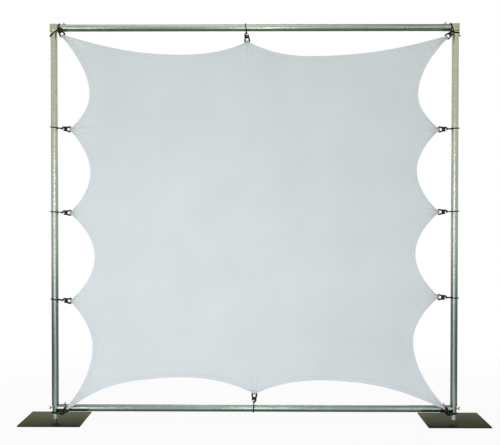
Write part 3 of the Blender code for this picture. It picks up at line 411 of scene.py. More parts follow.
def makeGrain():
    # Moulded plastic or cast skin: fine pits with a slow unevenness
    tree, start, end = newGroup(
        "fineGrain",
        [("Scale", "NodeSocketFloat", 1200.0)],
        [("Height", "NodeSocketFloat"), ("Shade", "NodeSocketFloat")],
    )
    place = addNode(tree, "ShaderNodeTexCoord", -800)
    pits = noiseNode(tree, -500, 200, place.outputs["Object"], start.outputs["Scale"], 3.0, 0.6)
    slow = noiseNode(tree, -500, -100, place.outputs["Object"], 70.0, 3.0, 0.5)
    total = mathNode(tree, "MULTIPLY_ADD", -100, 100, slow.outputs["Fac"], 0.6)
    tree.links.new(pits.outputs["Fac"], total.inputs[2])
    shade = rangeNode(tree, 100, -100, slow.outputs["Fac"], 0.3, 0.7)
    link(tree, [(total.outputs[0], end.inputs["Height"]), (shade.outputs[0], end.inputs["Shade"])])
    return tree


def makeKnit():
    # Knit cloth: rows of tiny loops across the sheet, in the plane of the screen
    tree, start, end = newGroup(
        "stretchKnit",
        [("Loops Per Metre", "NodeSocketFloat", 1400.0)],
        [("Height", "NodeSocketFloat"), ("Shade", "NodeSocketFloat")],
    )
    place = addNode(tree, "ShaderNodeTexCoord", -1000)
    parts = addNode(tree, "ShaderNodeSeparateXYZ", -800)
    tree.links.new(place.outputs["Object"], parts.inputs[0])
    turn = mathNode(tree, "MULTIPLY", -800, -200, start.outputs["Loops Per Metre"], 2 * math.pi)
    across = mathNode(tree, "MULTIPLY", -550, 100, parts.outputs["X"], turn.outputs[0])
    up = mathNode(tree, "MULTIPLY", -550, -100, parts.outputs["Z"], turn.outputs[0])
    waveA = mathNode(tree, "SINE", -350, 100, across.outputs[0])
    bend = mathNode(tree, "MULTIPLY_ADD", -200, 0, waveA.outputs[0], 0.8)
    tree.links.new(up.outputs[0], bend.inputs[2])
    waveB = mathNode(tree, "SINE", 0, 0, bend.outputs[0])
    knots = mathNode(tree, "MULTIPLY", 200, 50, waveA.outputs[0], waveB.outputs[0])
    height = rangeNode(tree, 400, 50, knots.outputs[0], -1.0, 1.0)
    slow = noiseNode(tree, -350, -400, place.outputs["Object"], 3.0, 4.0, 0.5)
    shade = rangeNode(tree, 200, -400, slow.outputs["Fac"], 0.3, 0.7)
    link(tree, [(height.outputs[0], end.inputs["Height"]), (shade.outputs[0], end.inputs["Shade"])])
    return tree


mottle = makeMottle()
edgeWear = makeEdgeWear()
dustFilm = makeDust()
fineGrain = makeGrain()
stretchKnit = makeKnit()
paintedHeightShade = makePaintedHeightShade()


def placeGroup(tree, group, x, y, **values):
    made = addNode(tree, "ShaderNodeGroup", x, y, node_tree=group)
    for key, value in values.items():
        socket = made.inputs[key.replace("_", " ")]
        if isinstance(value, tuple):
            socket.default_value = (*value, 1)
        elif isinstance(value, (int, float)):
            socket.default_value = value
        else:
            tree.links.new(value, socket)
    return made


def startFinish(name, metallic, rough, **plain):
    look = newMaterial(name)
    tree = look.node_tree
    out = addNode(tree, "ShaderNodeOutputMaterial", 900)
    shader = addNode(tree, "ShaderNodeBsdfPrincipled", 600)
    shader.inputs["Metallic"].default_value = metallic
    shader.inputs["Roughness"].default_value = rough
    for key, value in plain.items():
        shader.inputs[key.replace("_", " ")].default_value = value
    tree.links.new(shader.outputs[0], out.inputs["Surface"])
    return look, tree, shader


def addBump(tree, shader, height, strength, depth):
    bump = addNode(tree, "ShaderNodeBump", 350, -250)
    bump.inputs["Strength"].default_value = strength
    bump.inputs["Distance"].default_value = depth
    link(tree, [(height, bump.inputs["Height"]), (bump.outputs["Normal"], shader.inputs["Normal"])])


def wornAndDusty(tree, color, worn, dust):
    # Worn edges with dust over them: worn and dust hold a colour, an amount and a scale each
    edges = placeGroup(tree, edgeWear, -150, 150, Color=color, Worn_Color=worn[0],
                       Amount=worn[1], Scale=worn[2])
    film = placeGroup(tree, dustFilm, 100, 150, Color=edges.outputs["Color"], Dust_Color=dust[0],
                      Amount=dust[1], Scale=dust[2])
    return film.outputs["Color"]


def colorAndRough(tree, shader, color, rough):
    link(tree, [(color, shader.inputs["Base Color"]), (rough, shader.inputs["Roughness"])])


# Painted light and shade by height: what multiplies a colour at the bottom rail, halfway up and at the top
# rail; the posts and fittings are painted lighter and warmer near the top than the rails
zincPaintedShade = {"Low": (0.90, 1.02, 1.02), "Middle": (1.02, 1.03, 1.03), "High": (1.26, 1.26, 0.99)}
railPaintedShade = {**zincPaintedShade, "High": (1.06, 1.08, 0.96)}


def zincFinish(name, dark, light, patchScale, flakeScale, wear, drawnAlong=None, tints=None):
    look, tree, shader = startFinish(name, 1.0, 0.36, Specular_Tint=(0.40, 0.42, 0.38, 1))
    skin = placeGroup(tree, mottle, -500, 0, Dark=dark, Light=light,
                      Patch_Scale=patchScale, Flake_Scale=flakeScale)
    color = wornAndDusty(tree, skin.outputs["Color"], (wear, 0.6, 140.0), ((0.42, 0.42, 0.39), 0.25, 24.0))
    # Painted light and shade: the colour is multiplied by tones that change with the height
    if tints:
        color = placeGroup(tree, paintedHeightShade, 350, 100, Color=color, **tints).outputs["Color"]
    colorAndRough(tree, shader, color, skin.outputs["Rough"])
    addBump(tree, shader, skin.outputs["Height"], 0.01, 0.0002)
    if drawnAlong:
        # A tube is drawn along its axis, so what it mirrors is smeared round it
        shader.inputs["Anisotropic"].default_value = 0.7
        around = addNode(tree, "ShaderNodeTangent", 350, -450, direction_type="RADIAL", axis=drawnAlong)
        tree.links.new(around.outputs[0], shader.inputs["Tangent"])
    return look


# Dark and light shade, the scales of patches and flakes, and the colour of worn edges
pipeShades = ((0.300, 0.330, 0.286), (0.368, 0.402, 0.352), 18.0, 160.0, (0.50, 0.53, 0.48))
postFinish = zincFinish("galvanisedPost", *pipeShades, drawnAlong="Z", tints=zincPaintedShade)
railFinish = zincFinish("galvanisedRail", *pipeShades, drawnAlong="X", tints=railPaintedShade)
fittingShades = ((0.27, 0.297, 0.245), (0.365, 0.395, 0.33), 34.0, 260.0, (0.50, 0.52, 0.46))
fittingFinish = zincFinish("galvanisedCasting", *fittingShades, tints=zincPaintedShade)
screwShades = ((0.36, 0.37, 0.34), (0.58, 0.59, 0.55), 90.0, 600.0, (0.68, 0.68, 0.65))
screwFinish = zincFinish("zincScrew", *screwShades)


plateReach = 0.19
# Painted reflection: the plate's shine at its back and, weaker, at its front edge
paintedPlateReflection = ((0.392, 0.408, 0.352), (0.580, 0.606, 0.505))


def plateSteel():
    look, tree, shader = startFinish("oliveSteel", 1.0, 0.2)
    place = addNode(tree, "ShaderNodeTexCoord", -900)
    cloud = noiseNode(tree, -650, 200, place.outputs["Object"], 5.0, 6.0, 0.62)
    streak = noiseNode(tree, -650, -100, place.outputs["Object"], 55.0, 3.0, 0.7)
    cloudShare = rangeNode(tree, -500, 300, cloud.outputs["Fac"], 0.3, 0.72)
    shade = colorMix(tree, -350, 200, cloudShare.outputs[0], (0.012, 0.013, 0.009), (0.020, 0.021, 0.015))
    color = wornAndDusty(tree, shade.outputs[2], ((0.09, 0.09, 0.075), 0.4, 90.0),
                         ((0.035, 0.036, 0.027), 0.25, 14.0))
    rough = rangeNode(tree, 100, -150, streak.outputs["Fac"], 0.3, 0.7, 0.15, 0.24)
    # Painted reflection shade: the plate's shine is set weaker towards its front edge by place, mixed with a
    # random cloudy change
    parts = addNode(tree, "ShaderNodeSeparateXYZ", -650, -400)
    deep = rangeNode(tree, -450, -400, parts.outputs["Y"], -plateReach, plateReach)
    skin = mathNode(tree, "MULTIPLY_ADD", -250, -400, cloudShare.outputs[0], 0.24)
    paintedReflectionShade = colorMix(tree, 100, -400, skin.outputs[0], *paintedPlateReflection)
    colorAndRough(tree, shader, color, rough.outputs[0])
    link(tree, [(place.outputs["Object"], parts.inputs[0]), (deep.outputs[0], skin.inputs[2]),
                (paintedReflectionShade.outputs[2], shader.inputs["Specular Tint"])])
    grain = placeGroup(tree, fineGrain, 0, -350, Scale=500.0)
    addBump(tree, shader, grain.outputs["Height"], 0.05, 0.0002)
    return look


def turnedSteel():
    look, tree, shader = startFinish("turnedPin", 1.0, 0.2)
    place = addNode(tree, "ShaderNodeTexCoord", -900)
    parts = addNode(tree, "ShaderNodeSeparateXYZ", -700)
    stretch = addNode(tree, "ShaderNodeCombineXYZ", -500)
    flat = mathNode(tree, "MULTIPLY", -600, 0, parts.outputs["X"], 0.02)
    rings = noiseNode(tree, -300, 0, stretch.outputs[0], 1600.0, 2.0, 0.5)
    link(tree, [(place.outputs["Object"], parts.inputs[0]), (flat.outputs[0], stretch.inputs["X"]),
                (parts.outputs["Z"], stretch.inputs["Z"])])
    spots = noiseNode(tree, -300, 250, place.outputs["Object"], 60.0, 5.0, 0.6)
    spotShare = rangeNode(tree, -100, 350, spots.outputs["Fac"], 0.35, 0.7)
    shade = colorMix(tree, 0, 250, spotShare.outputs[0], (0.84, 0.85, 0.83), (0.93, 0.94, 0.92))
    rough = rangeNode(tree, 0, 0, rings.outputs["Fac"], 0.3, 0.7, 0.34, 0.46)
    colorAndRough(tree, shader, shade.outputs[2], rough.outputs[0])
    addBump(tree, shader, rings.outputs["Fac"], 0.15, 0.0002)
    return look


def clampPlastic():
    look, tree, shader = startFinish("blackNylon", 0.0, 0.5, Specular_IOR_Level=0.12)
    grain = placeGroup(tree, fineGrain, -500, 0, Scale=1500.0)
    shade = colorMix(tree, -250, 200, grain.outputs["Shade"], (0.006, 0.006, 0.006), (0.013, 0.013, 0.012))
    color = wornAndDusty(tree, shade.outputs[2], ((0.025, 0.025, 0.024), 0.6, 260.0),
                         ((0.03, 0.03, 0.028), 0.2, 80.0))
    rough = rangeNode(tree, 0, -50, grain.outputs["Shade"], 0.0, 1.0, 0.42, 0.56)
    colorAndRough(tree, shader, color, rough.outputs[0])
    addBump(tree, shader, grain.outputs["Height"], 0.25, 0.0002)
    return look


braid = {"crossingsPerMetre": 300, "strands": 6}


def braidedCord():
    # A braided sleeve: two sets of strands that cross, along the cord's own length
    look, tree, shader = startFinish("blackBraid", 0.0, 0.85, Specular_IOR_Level=0.1)
    place = addNode(tree, "ShaderNodeUVMap", -1000)
    parts = addNode(tree, "ShaderNodeSeparateXYZ", -800)
    tree.links.new(place.outputs[0], parts.inputs[0])
    along = mathNode(tree, "MULTIPLY", -600, 100, parts.outputs["X"], 2 * math.pi * braid["crossingsPerMetre"])
    around = mathNode(tree, "MULTIPLY", -600, -100, parts.outputs["Y"], 2 * math.pi * braid["strands"])
    plus = mathNode(tree, "ADD", -400, 100, along.outputs[0], around.outputs[0])
    minus = mathNode(tree, "SUBTRACT", -400, -100, along.outputs[0], around.outputs[0])
    waveA = mathNode(tree, "SINE", -200, 100, plus.outputs[0])
    waveB = mathNode(tree, "SINE", -200, -100, minus.outputs[0])
    cross = mathNode(tree, "MAXIMUM", 0, 0, waveA.outputs[0], waveB.outputs[0])
    height = rangeNode(tree, 150, -100, cross.outputs[0], -0.4, 1.0)
    # Painted shade: the grooves between the strands are darker than their crowns
    shade = colorMix(tree, 300, 200, height.outputs[0], (0.002, 0.002, 0.002), (0.009, 0.009, 0.008))
    tree.links.new(shade.outputs[2], shader.inputs["Base Color"])
    addBump(tree, shader, height.outputs[0], 0.7, 0.0005)
    return look


plateFinish = plateSteel()
pinFinish = turnedSteel()
clampFinish = clampPlastic()
cordFinish = braidedCord()

# Painted light and shade on the cloth by height: lighter and bluer low down, darker near the top
clothPaintedShade = {"Low": (1.01, 1.012, 1.035), "Middle": (1.0, 1.003, 1.018), "High": (0.975, 0.975, 0.965)}
stitches = {"length": 4 * mm, "lines": (0.80, 0.90), "lineHalf": 0.012, "lineFade": 0.03}


def clothFinish(name, shadeLow, shadeHigh, stitched=False):
    look, tree, shader = startFinish(name, 0.0, 0.85, Sheen_Weight=0.15, Sheen_Roughness=0.4)
    knit = placeGroup(tree, stretchKnit, -500, 0, Loops_Per_Metre=900.0)
    place = addNode(tree, "ShaderNodeTexCoord", -900, 300)
    soil = noiseNode(tree, -700, 400, place.outputs["Object"], 11.0, 6.0, 0.66)
    specks = noiseNode(tree, -700, 650, place.outputs["Object"], 46.0, 2.0, 0.5)
    shade = colorMix(tree, -200, 200, knit.outputs["Shade"], shadeLow, shadeHigh)
    soilMask = rangeNode(tree, -450, 400, soil.outputs["Fac"], 0.62, 0.80, 0.0, 0.22)
    soiled = colorMix(tree, 0, 300, soilMask.outputs[0], shade.outputs[2], (0.56, 0.58, 0.57))
    speckMask = rangeNode(tree, -450, 650, specks.outputs["Fac"], 0.77, 0.80, 0.0, 0.75)
    spotted = colorMix(tree, 200, 350, speckMask.outputs[0], soiled.outputs[2], (0.30, 0.32, 0.32))
    finalColor = spotted.outputs[2]
    height = knit.outputs["Height"]
    if stitched:
        # Two lines of stitches along the hem, counted in metres by the piece's own map
        rail = addNode(tree, "ShaderNodeUVMap", -900, -400)
        parts = addNode(tree, "ShaderNodeSeparateXYZ", -700, -400)
        tree.links.new(rail.outputs[0], parts.inputs[0])
        along = mathNode(tree, "MULTIPLY", -500, -400, parts.outputs["X"], 2 * math.pi / stitches["length"])
        dash = mathNode(tree, "SINE", -300, -400, along.outputs[0])
        dashes = rangeNode(tree, -100, -400, dash.outputs[0], -0.5, 0.0)
        lines = []
        for line in stitches["lines"]:
            offset = mathNode(tree, "SUBTRACT", -500, -600, parts.outputs["Y"], line)
            beside = mathNode(tree, "ABSOLUTE", -300, -600, offset.outputs[0])
            near = rangeNode(tree, -100, -600, beside.outputs[0],
                             stitches["lineHalf"], stitches["lineFade"], 1.0, 0.0)
            lines.append(near.outputs[0])
        both = mathNode(tree, "MAXIMUM", 50, -600, lines[0], lines[1])
        thread = mathNode(tree, "MULTIPLY", 150, -500, both.outputs[0], dashes.outputs[0])
        groove = mathNode(tree, "MULTIPLY_ADD", 250, -400, both.outputs[0], -1.5)
        tree.links.new(height, groove.inputs[2])
        height = mathNode(tree, "ADD", 300, -500, groove.outputs[0], thread.outputs[0]).outputs[0]
        faint = mathNode(tree, "MULTIPLY", 250, -250, both.outputs[0], 0.25)
        finalColor = colorMix(tree, 400, 350, faint.outputs[0], finalColor, (0.50, 0.52, 0.52)).outputs[2]
    # Painted light and shade by height over the cloth's own colour
    paintedHeightColor = placeGroup(tree, paintedHeightShade, 500, 350, Color=finalColor, **clothPaintedShade)
    tree.links.new(paintedHeightColor.outputs["Color"], shader.inputs["Base Color"])
    addBump(tree, shader, height, 0.18, 0.0003)
    return look


sheetFinish = clothFinish("whiteStretchKnit", (0.640, 0.692, 0.692), (0.682, 0.736, 0.741))
hemFinish = clothFinish("whiteHem", (0.628, 0.690, 0.712), (0.670, 0.734, 0.760), stitched=True)
print("finishes made")


# The solids that stay, with the finish of each and soft edges where the real ones have them

keptPieces = {
    "post": {"names": ["left_post", "right_post"], "finish": postFinish, "edge": 0.0},
    "rail": {"names": ["top_rail_left", "top_rail_right", "top_rail_splice", "bottom_rail"],
             "finish": railFinish, "edge": 0.0},
    "fitting": {"names": [n for n in nodes if n.endswith("_fitting")], "finish": fittingFinish, "edge": 0.0},
    "screw": {"names": [n for n in nodes if n.endswith("wing_screw")],
              "finish": screwFinish, "edge": 0.5 * mm},
    "plate": {"names": ["left_base_plate", "right_base_plate"], "finish": plateFinish, "edge": 0.8 * mm},
    "pin": {"names": ["left_base_pin", "right_base_pin"], "finish": pinFinish, "edge": 0.0},
    "clamp": {"names": [n for n in nodes if "_clamp_" in n], "finish": clampFinish, "edge": 0.7 * mm},
}


def makeSoftShade():
    # Shades what bends gently as round, and keeps what turns sharply as an edge
    tree = bpy.data.node_groups.new("softShade", "GeometryNodeTree")
    for way in ("INPUT", "OUTPUT"):
        tree.interface.new_socket("Geometry", in_out=way, socket_type="NodeSocketGeometry")
    start = addNode(tree, "NodeGroupInput", -600)
    end = addNode(tree, "NodeGroupOutput", 800)
    plain = addNode(tree, "GeometryNodeRemoveAttribute", -400)
    plain.inputs["Name"].default_value = "custom_normal"
    smooth = addNode(tree, "GeometryNodeSetShadeSmooth", -150, domain="FACE")
    angle = addNode(tree, "GeometryNodeInputMeshEdgeAngle", -400, -300)
    sharp = addNode(tree, "FunctionNodeCompare", -150, -300, data_type="FLOAT", operation="GREATER_THAN")
    sharp.inputs["B"].default_value = math.radians(34)
    crease = addNode(tree, "GeometryNodeSetShadeSmooth", 300, domain="EDGE")
    crease.inputs["Shade Smooth"].default_value = False
    link(tree, [(start.outputs[0], plain.inputs["Geometry"]),
                (plain.outputs["Geometry"], smooth.inputs["Geometry"]),
                (smooth.outputs["Geometry"], crease.inputs["Geometry"]),
                (angle.outputs["Unsigned Angle"], sharp.inputs["A"]),
                (sharp.outputs["Result"], crease.inputs["Selection"]),
                (crease.outputs["Geometry"], end.inputs[0])])
    return tree


softShade = makeSoftShade()


def dressSolid(name, finish, edge):
    piece = nodes[name]
    if not piece.material_slots:
        piece.data.materials.append(finish)
    for place in piece.material_slots:
        place.material = finish
    joined = piece.modifiers.new("joined", "WELD")
    joined.merge_threshold = 0.01 * mm
    if edge > 0:
        flats = piece.modifiers.new("flats", "DECIMATE")
        flats.decimate_type = "DISSOLVE"
        flats.angle_limit = math.radians(0.5)
        soft = piece.modifiers.new("softEdge", "BEVEL")
        soft.width = edge
        soft.segments = 2
        soft.limit_method = "ANGLE"
        soft.angle_limit = math.radians(38)
    shade = piece.modifiers.new("softShade", "NODES")
    shade.node_group = softShade
    if edge > 0:
        # Keeps the large faces flat beside their rounded edges
        level = piece.modifiers.new("levelFaces", "WEIGHTED_NORMAL")
        level.mode = "FACE_AREA"
        level.weight = 100
        level.keep_sharp = True


for group in keptPieces.values():
    for name in group["names"]:
        dressSolid(name, group["finish"], group["edge"])
print("solids dressed")


# Ties: where each clamp is and how its cord goes, as in the solids

clampShape = {"jawReach": 28 * mm, "mouthGap": 2 * mm, "eyeReach": 26 * mm, "eyeRadius": 7 * mm}
cordShape = {
    "radius": 3.2 * mm, "gap": 0.3 * mm, "bendRadius": 5 * mm, "bendRun": 9 * mm,
    "turnStep": math.radians(11), "sides": 14,
}
tieForward = 37 * mm
sideTieReach = 103 * mm


def makeTie(name, mouth, towardsSheet, fixedSide):
    along = Vector(towardsSheet).normalized()
    pinAxis = Vector((0, fixedSide, 0))
    pivot = Vector(mouth) - along * (clampShape["jawReach"] + clampShape["mouthGap"])
    return {"name": name, "mouth": Vector(mouth), "pivot": pivot, "eye": pivot - along * clampShape["eyeReach"],
            "along": along, "across": pinAxis.cross(along), "pinAxis": pinAxis}


sideTies = {
    -1: {"lower": (0.2824, 0.2871), "middle": (0.5148, 0.5178), "upper": (0.7343, 0.7395)},
    1: {"lower": (0.2946, 0.2925), "middle": (0.5179, 0.5198), "upper": (0.7340, 0.7367)},
}
middleTies = [
    ("top", (-0.0172, -0.0208), topRailZ, -88 * mm),
    ("bottom", (0.0011, -0.0012), bottomRailZ, 94 * mm),
]
topCorners = [
    {"side": -1, "word": "left", "inset": 64 * mm, "drop": 56 * mm, "angle": 58,
     "railWrap": 33.4 * mm, "postWrap": 50.6 * mm},
    {"side": 1, "word": "right", "inset": 64 * mm, "drop": 68 * mm, "angle": 39,
     "railWrap": 29 * mm, "postWrap": 34 * mm},
]
bottomCorners = [
    {"side": -1, "word": "left", "inset": 86 * mm, "rise": 7 * mm},
    {"side": 1, "word": "right", "inset": 70 * mm, "rise": 16 * mm},
]
neckWrapDrop = 27.7 * mm


def wrapRadius(pipeRadius):
    return pipeRadius + cordShape["radius"] + cordShape["gap"]


def tangentCorner(radius, along, across):
    touching = math.atan2(across, along) + math.acos(radius / math.hypot(along, across))
    return radius * math.tan((math.pi / 2 - touching) / 2)


def roundedLoop(corners):
    # A closed route through corners, each with its own bend radius
    route = []
    for i, (corner, radius) in enumerate(corners):
        back = (corners[i - 1][0] - corner).normalized()
        ahead = (corners[(i + 1) % len(corners)][0] - corner).normalized()
        turn = math.pi - back.angle(ahead)
        spans = max(2, math.ceil(turn / cordShape["turnStep"]))
        side = (back + ahead).normalized()
        centre = corner + side * (radius / math.cos(turn / 2))
        forward = (ahead - back).normalized()
        reach = radius / math.cos(turn / spans / 2)
        for step in range(spans):
            angle = turn * ((step + 0.5) / spans - 0.5)
            route.append(centre + (forward * math.sin(angle) - side * math.cos(angle)) * reach)
    return route


def beltRoute(wrap, eye, pipeAxis):
    run = eye - wrap
    outwards = run.normalized()
    sideways = Vector((0, 1, 0))
    wide = wrapRadius(screenSize["pipeRadius"]) / abs(outwards.cross(sideways).dot(pipeAxis))
    start = tangentCorner(wide, run.length, cordShape["bendRun"])
    corners = []
    for turn in (-1, 1):
        shoulder = (wrap + outwards * start + sideways * (turn * wide), wide)
        back = (wrap - outwards * wide + sideways * (turn * wide), wide)
        lug = (eye + sideways * (turn * cordShape["bendRun"]), cordShape["bendRadius"])
        corners += [back, shoulder, lug] if turn > 0 else [lug, shoulder, back]
    return roundedLoop(corners)


def placedLoop(side, height, corners):
    placed = []
    for inset, y, z, radius in corners:
        placed.append((Vector((side * (postX - inset), y, height + z)), radius))
    return roundedLoop(placed)


def topCornerRoute(side, eye, railWrap, postWrap):
    railRound = wrapRadius(screenSize["collarRadius"])
    postRound = wrapRadius(screenSize["pipeRadius"])
    behindHub = wrapRadius(screenSize["hubHalf"])
    gap = cordShape["gap"]
    thick = 2 * cordShape["radius"]
    bend = cordShape["bendRadius"]
    inset = postX - abs(eye.x)
    rise = eye.z - topRailZ
    front = eye.y - cordShape["bendRun"]
    overLug = rise + clampShape["eyeRadius"] + cordShape["radius"]
    railFront = -tangentCorner(railRound, -front, overLug)
    return placedLoop(side, topRailZ, [
        (inset, eye.y + cordShape["bendRun"] - gap, rise, bend),
        (inset, front, rise, bend),
        (inset, front, overLug, bend),
        (railWrap, railFront, railRound, railRound),
        (railWrap, railRound, railRound, railRound),
        (railWrap, behindHub + gap, -thick, thick),
        (-postRound, behindHub - gap, -postWrap, postRound),
        (-postRound, -postRound, -postWrap, postRound),
    ])


def bottomCornerRoute(side, eye):
    neckRound = wrapRadius(screenSize["neckRadius"])
    bend = cordShape["bendRadius"]
    inset = postX - abs(eye.x)
    level = eye.z - bottomRailZ
    front = eye.y - cordShape["bendRun"]
    rear = eye.y + cordShape["bendRun"]
    overLug = inset - clampShape["eyeRadius"] - cordShape["radius"]
    behind = tangentCorner(neckRound, inset, rear)
    before = -tangentCorner(neckRound, -front, -overLug)
    return placedLoop(side, bottomRailZ, [
        (inset, rear, level, bend),
        (inset, front, level, bend),
        (overLug, front, level, bend),
        (-neckRound, before, level, neckRound),
        (-neckRound, neckRound, level, neckRound),
        (behind, neckRound, level, neckRound),
    ])


def makeTies():
    made = []
    for side, levels in sideTies.items():
        word = "left" if side < 0 else "right"
        for level, (tipShare, cordShare) in levels.items():
            wrap = Vector((side * postX, 0, bottomRailZ + cordShare * railRise))
            mouth = Vector((side * (postX - sideTieReach), 0, bottomRailZ + tipShare * railRise))
            tie = makeTie(f"{word}_{level}", mouth, mouth - wrap, side)
            tie["route"] = beltRoute(wrap, tie["eye"], Vector((0, 0, 1)))
            made.append(tie)
    for word, (tipShare, cordShare), height, reach in middleTies:
        wrap = Vector((cordShare * 2 * postX, 0, height))
        mouth = Vector((tipShare * 2 * postX, 0, height + reach))
        tie = makeTie(f"{word}_middle", mouth, mouth - wrap, 1)
        tie["route"] = beltRoute(wrap, tie["eye"], Vector((1, 0, 0)))
        made.append(tie)
    for corner in topCorners:
        side = corner["side"]
        angle = math.radians(corner["angle"])
        mouth = (side * (postX - corner["inset"]), -tieForward, topRailZ - corner["drop"])
        towardsSheet = (-side * math.cos(angle), 0, -math.sin(angle))
        tie = makeTie("top_" + corner["word"], mouth, towardsSheet, side)
        tie["route"] = topCornerRoute(side, tie["eye"], corner["railWrap"], corner["postWrap"])
        made.append(tie)
    reach = clampShape["jawReach"] + clampShape["mouthGap"] + clampShape["eyeReach"]
    for corner in bottomCorners:
        side = corner["side"]
        angle = math.asin((corner["rise"] + neckWrapDrop) / reach)
        mouth = (side * (postX - corner["inset"]), -tieForward, bottomRailZ + corner["rise"])
        towardsSheet = (-side * math.cos(angle), 0, math.sin(angle))
        tie = makeTie("bottom_" + corner["word"], mouth, towardsSheet, -side)
        tie["route"] = bottomCornerRoute(side, tie["eye"])
        made.append(tie)
    return made


ties = makeTies()
tieByName = {tie["name"]: tie for tie in ties}


def camelName(words):
    first, *rest = words.split("_")
    return first + "".join(w.capitalize() for w in rest)


def addPiece(name, mesh, finish):
    piece = bpy.data.objects.new(name, mesh)
    bpy.context.scene.collection.objects.link(piece)
    mesh.materials.append(finish)
    mesh.shade_smooth()
    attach(piece, mainBody)
    return piece


def tubeMesh(name, path, radius, sides, closed=True):
    # A round tube along a path, mapped in metres along it and from 0 to 1 round it
    work = bmesh.new()
    uvLayer = work.loops.layers.uv.new("map")
    count = len(path)
    rings = []
    lengths = [0.0]
    tangents = []
    for i in range(count):
        before = path[i - 1] if closed or i > 0 else path[i]
        after = path[(i + 1) % count] if closed or i < count - 1 else path[i]
        tangents.append((after - before).normalized())
        if i:
            lengths.append(lengths[-1] + (path[i] - path[i - 1]).length)
    side = tangents[0].orthogonal().normalized()
    first = side.copy()
    sidesOf = []
    for i in range(count):
        side = (side - tangents[i] * side.dot(tangents[i])).normalized()
        sidesOf.append(side.copy())
    if closed:
        # Spreads the leftover twist over the loop, so that the last ring meets the first
        last = (sidesOf[-1] - tangents[0] * sidesOf[-1].dot(tangents[0])).normalized()
        twist = math.atan2(last.cross(first).dot(tangents[0]), last.dot(first))
        for i in range(count):
            sidesOf[i].rotate(Matrix.Rotation(twist * i / count, 3, tangents[i]))
    for i in range(count):
        up = tangents[i].cross(sidesOf[i])
        ring = []
        for k in range(sides):
            angle = 2 * math.pi * k / sides
            out = sidesOf[i] * math.cos(angle) + up * math.sin(angle)
            ring.append(work.verts.new(path[i] + out * radius))
        rings.append(ring)
    lengths.append(lengths[-1] + (path[0] - path[-1]).length)
    for i in range(count if closed else count - 1):
        for k in range(sides):
            corners = [(i, k), (i, k + 1), (i + 1, k + 1), (i + 1, k)]
            face = work.faces.new([rings[a % count][b % sides] for a, b in corners])
            for loop, (a, b) in zip(face.loops, corners):
                loop[uvLayer].uv = (lengths[a], b / sides)
    if not closed:
        work.faces.new(list(reversed(rings[0])))
        work.faces.new(rings[-1])
    bmesh.ops.recalc_face_normals(work, faces=work.faces)
    mesh = bpy.data.meshes.new(name)
    work.to_mesh(mesh)
    work.free()
    return mesh


for tie in ties:
    name = camelName(tie["name"])
    tube = tubeMesh(name + "Cord", tie["route"], cordShape["radius"], cordShape["sides"])
    cord = addPiece(name + "Cord", tube, cordFinish)
    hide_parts(tie["name"] + "_cord")
print("cords made")


# The sheet

sheetShape = {
    "thickness": 0.9 * mm, "bunchHalf": 8.9 * mm, "bunchTail": 12 * mm, "tailHalf": 7.9 * mm,
    "cornerBlend": 0.45, "spread": 0.2, "relaxSteps": 20, "tipCells": 12, "sideCells": 28, "longCells": 48,
}
pleatShape = {
    "count": 4, "height": 3.8 * mm, "run": 0.085, "reach": 0.75, "sway": 0.35, "swayTurns": 2.3,
    "creaseHeight": 1.5 * mm, "creaseRun": 0.14, "cornerHeight": 3.2 * mm, "cornerRun": 0.24,
    "slowCount": 2.1, "slowTurn": 0.7, "waveShare": 0.6,
}
hemShape = {"width": 25 * mm, "half": 1.0 * mm, "leastWidth": 1.5 * mm, "fadeStart": 12 * mm, "fadeRun": 0.15}
# Each scallop: where it is deepest, how deep, both as shares of its width, and how full its two ends are
scallops = {
    "left": [(0.56, 0.218, 2.1, 1.9), (0.51, 0.272, 2.0, 2.0), (0.50, 0.240, 2.0, 1.8),
             (0.42, 0.240, 2.0, 1.9)],
    "right": [(0.57, 0.250, 2.0, 2.0), (0.51, 0.270, 2.0, 2.0), (0.51, 0.265, 2.0, 1.9),
              (0.42, 0.262, 2.0, 2.0)],
    "bottom": [(0.48, 0.122, 2.9, 2.4), (0.48, 0.100, 2.5, 2.1)],
    "top": [(0.56, 0.081, 1.9, 2.6), (0.37, 0.080, 2.5, 2.0)],
}
inwardOf = {
    "left": Vector((1, 0, 0)), "right": Vector((-1, 0, 0)),
    "bottom": Vector((0, 0, 1)), "top": Vector((0, 0, -1)),
}
edgeStops = {
    "left": ["bottom_left", "left_lower", "left_middle", "left_upper", "top_left"],
    "right": ["bottom_right", "right_lower", "right_middle", "right_upper", "top_right"],
    "bottom": ["bottom_left", "bottom_middle", "bottom_right"],
    "top": ["top_left", "top_middle", "top_right"],
}


def bunchPoint(tie, runIn, lateral):
    return tie["mouth"] - tie["along"] * runIn + tie["across"] * lateral


def sideOf(tie, way):
    return 1 if tie["across"].dot(way) > 0 else -1


def riseShare(shape, t):
    deepest, depth, startFull, endFull = shape
    if t < deepest:
        return depth * (1 - (1 - t / deepest) ** startFull)
    return depth * (1 - (1 - (1 - t) / (1 - deepest)) ** endFull)


def scallopLine(edge, number, cells):
    # One scallop between two mouths, ends left out
    stops = [tieByName[n] for n in edgeStops[edge]]
    way = (stops[-1]["mouth"] - stops[0]["mouth"]).normalized()
    low, high = stops[number], stops[number + 1]
    start = bunchPoint(low, 0, sideOf(low, way) * sheetShape["bunchHalf"])
    end = bunchPoint(high, 0, sideOf(high, -way) * sheetShape["bunchHalf"])
    chord = end - start
    line = []
    for i in range(1, cells):
        t = (1 - math.cos(math.pi * i / cells)) / 2
        rise = chord.length * riseShare(scallops[edge][number], t)
        line.append(start + chord * t + inwardOf[edge] * rise)
    return start, line, end


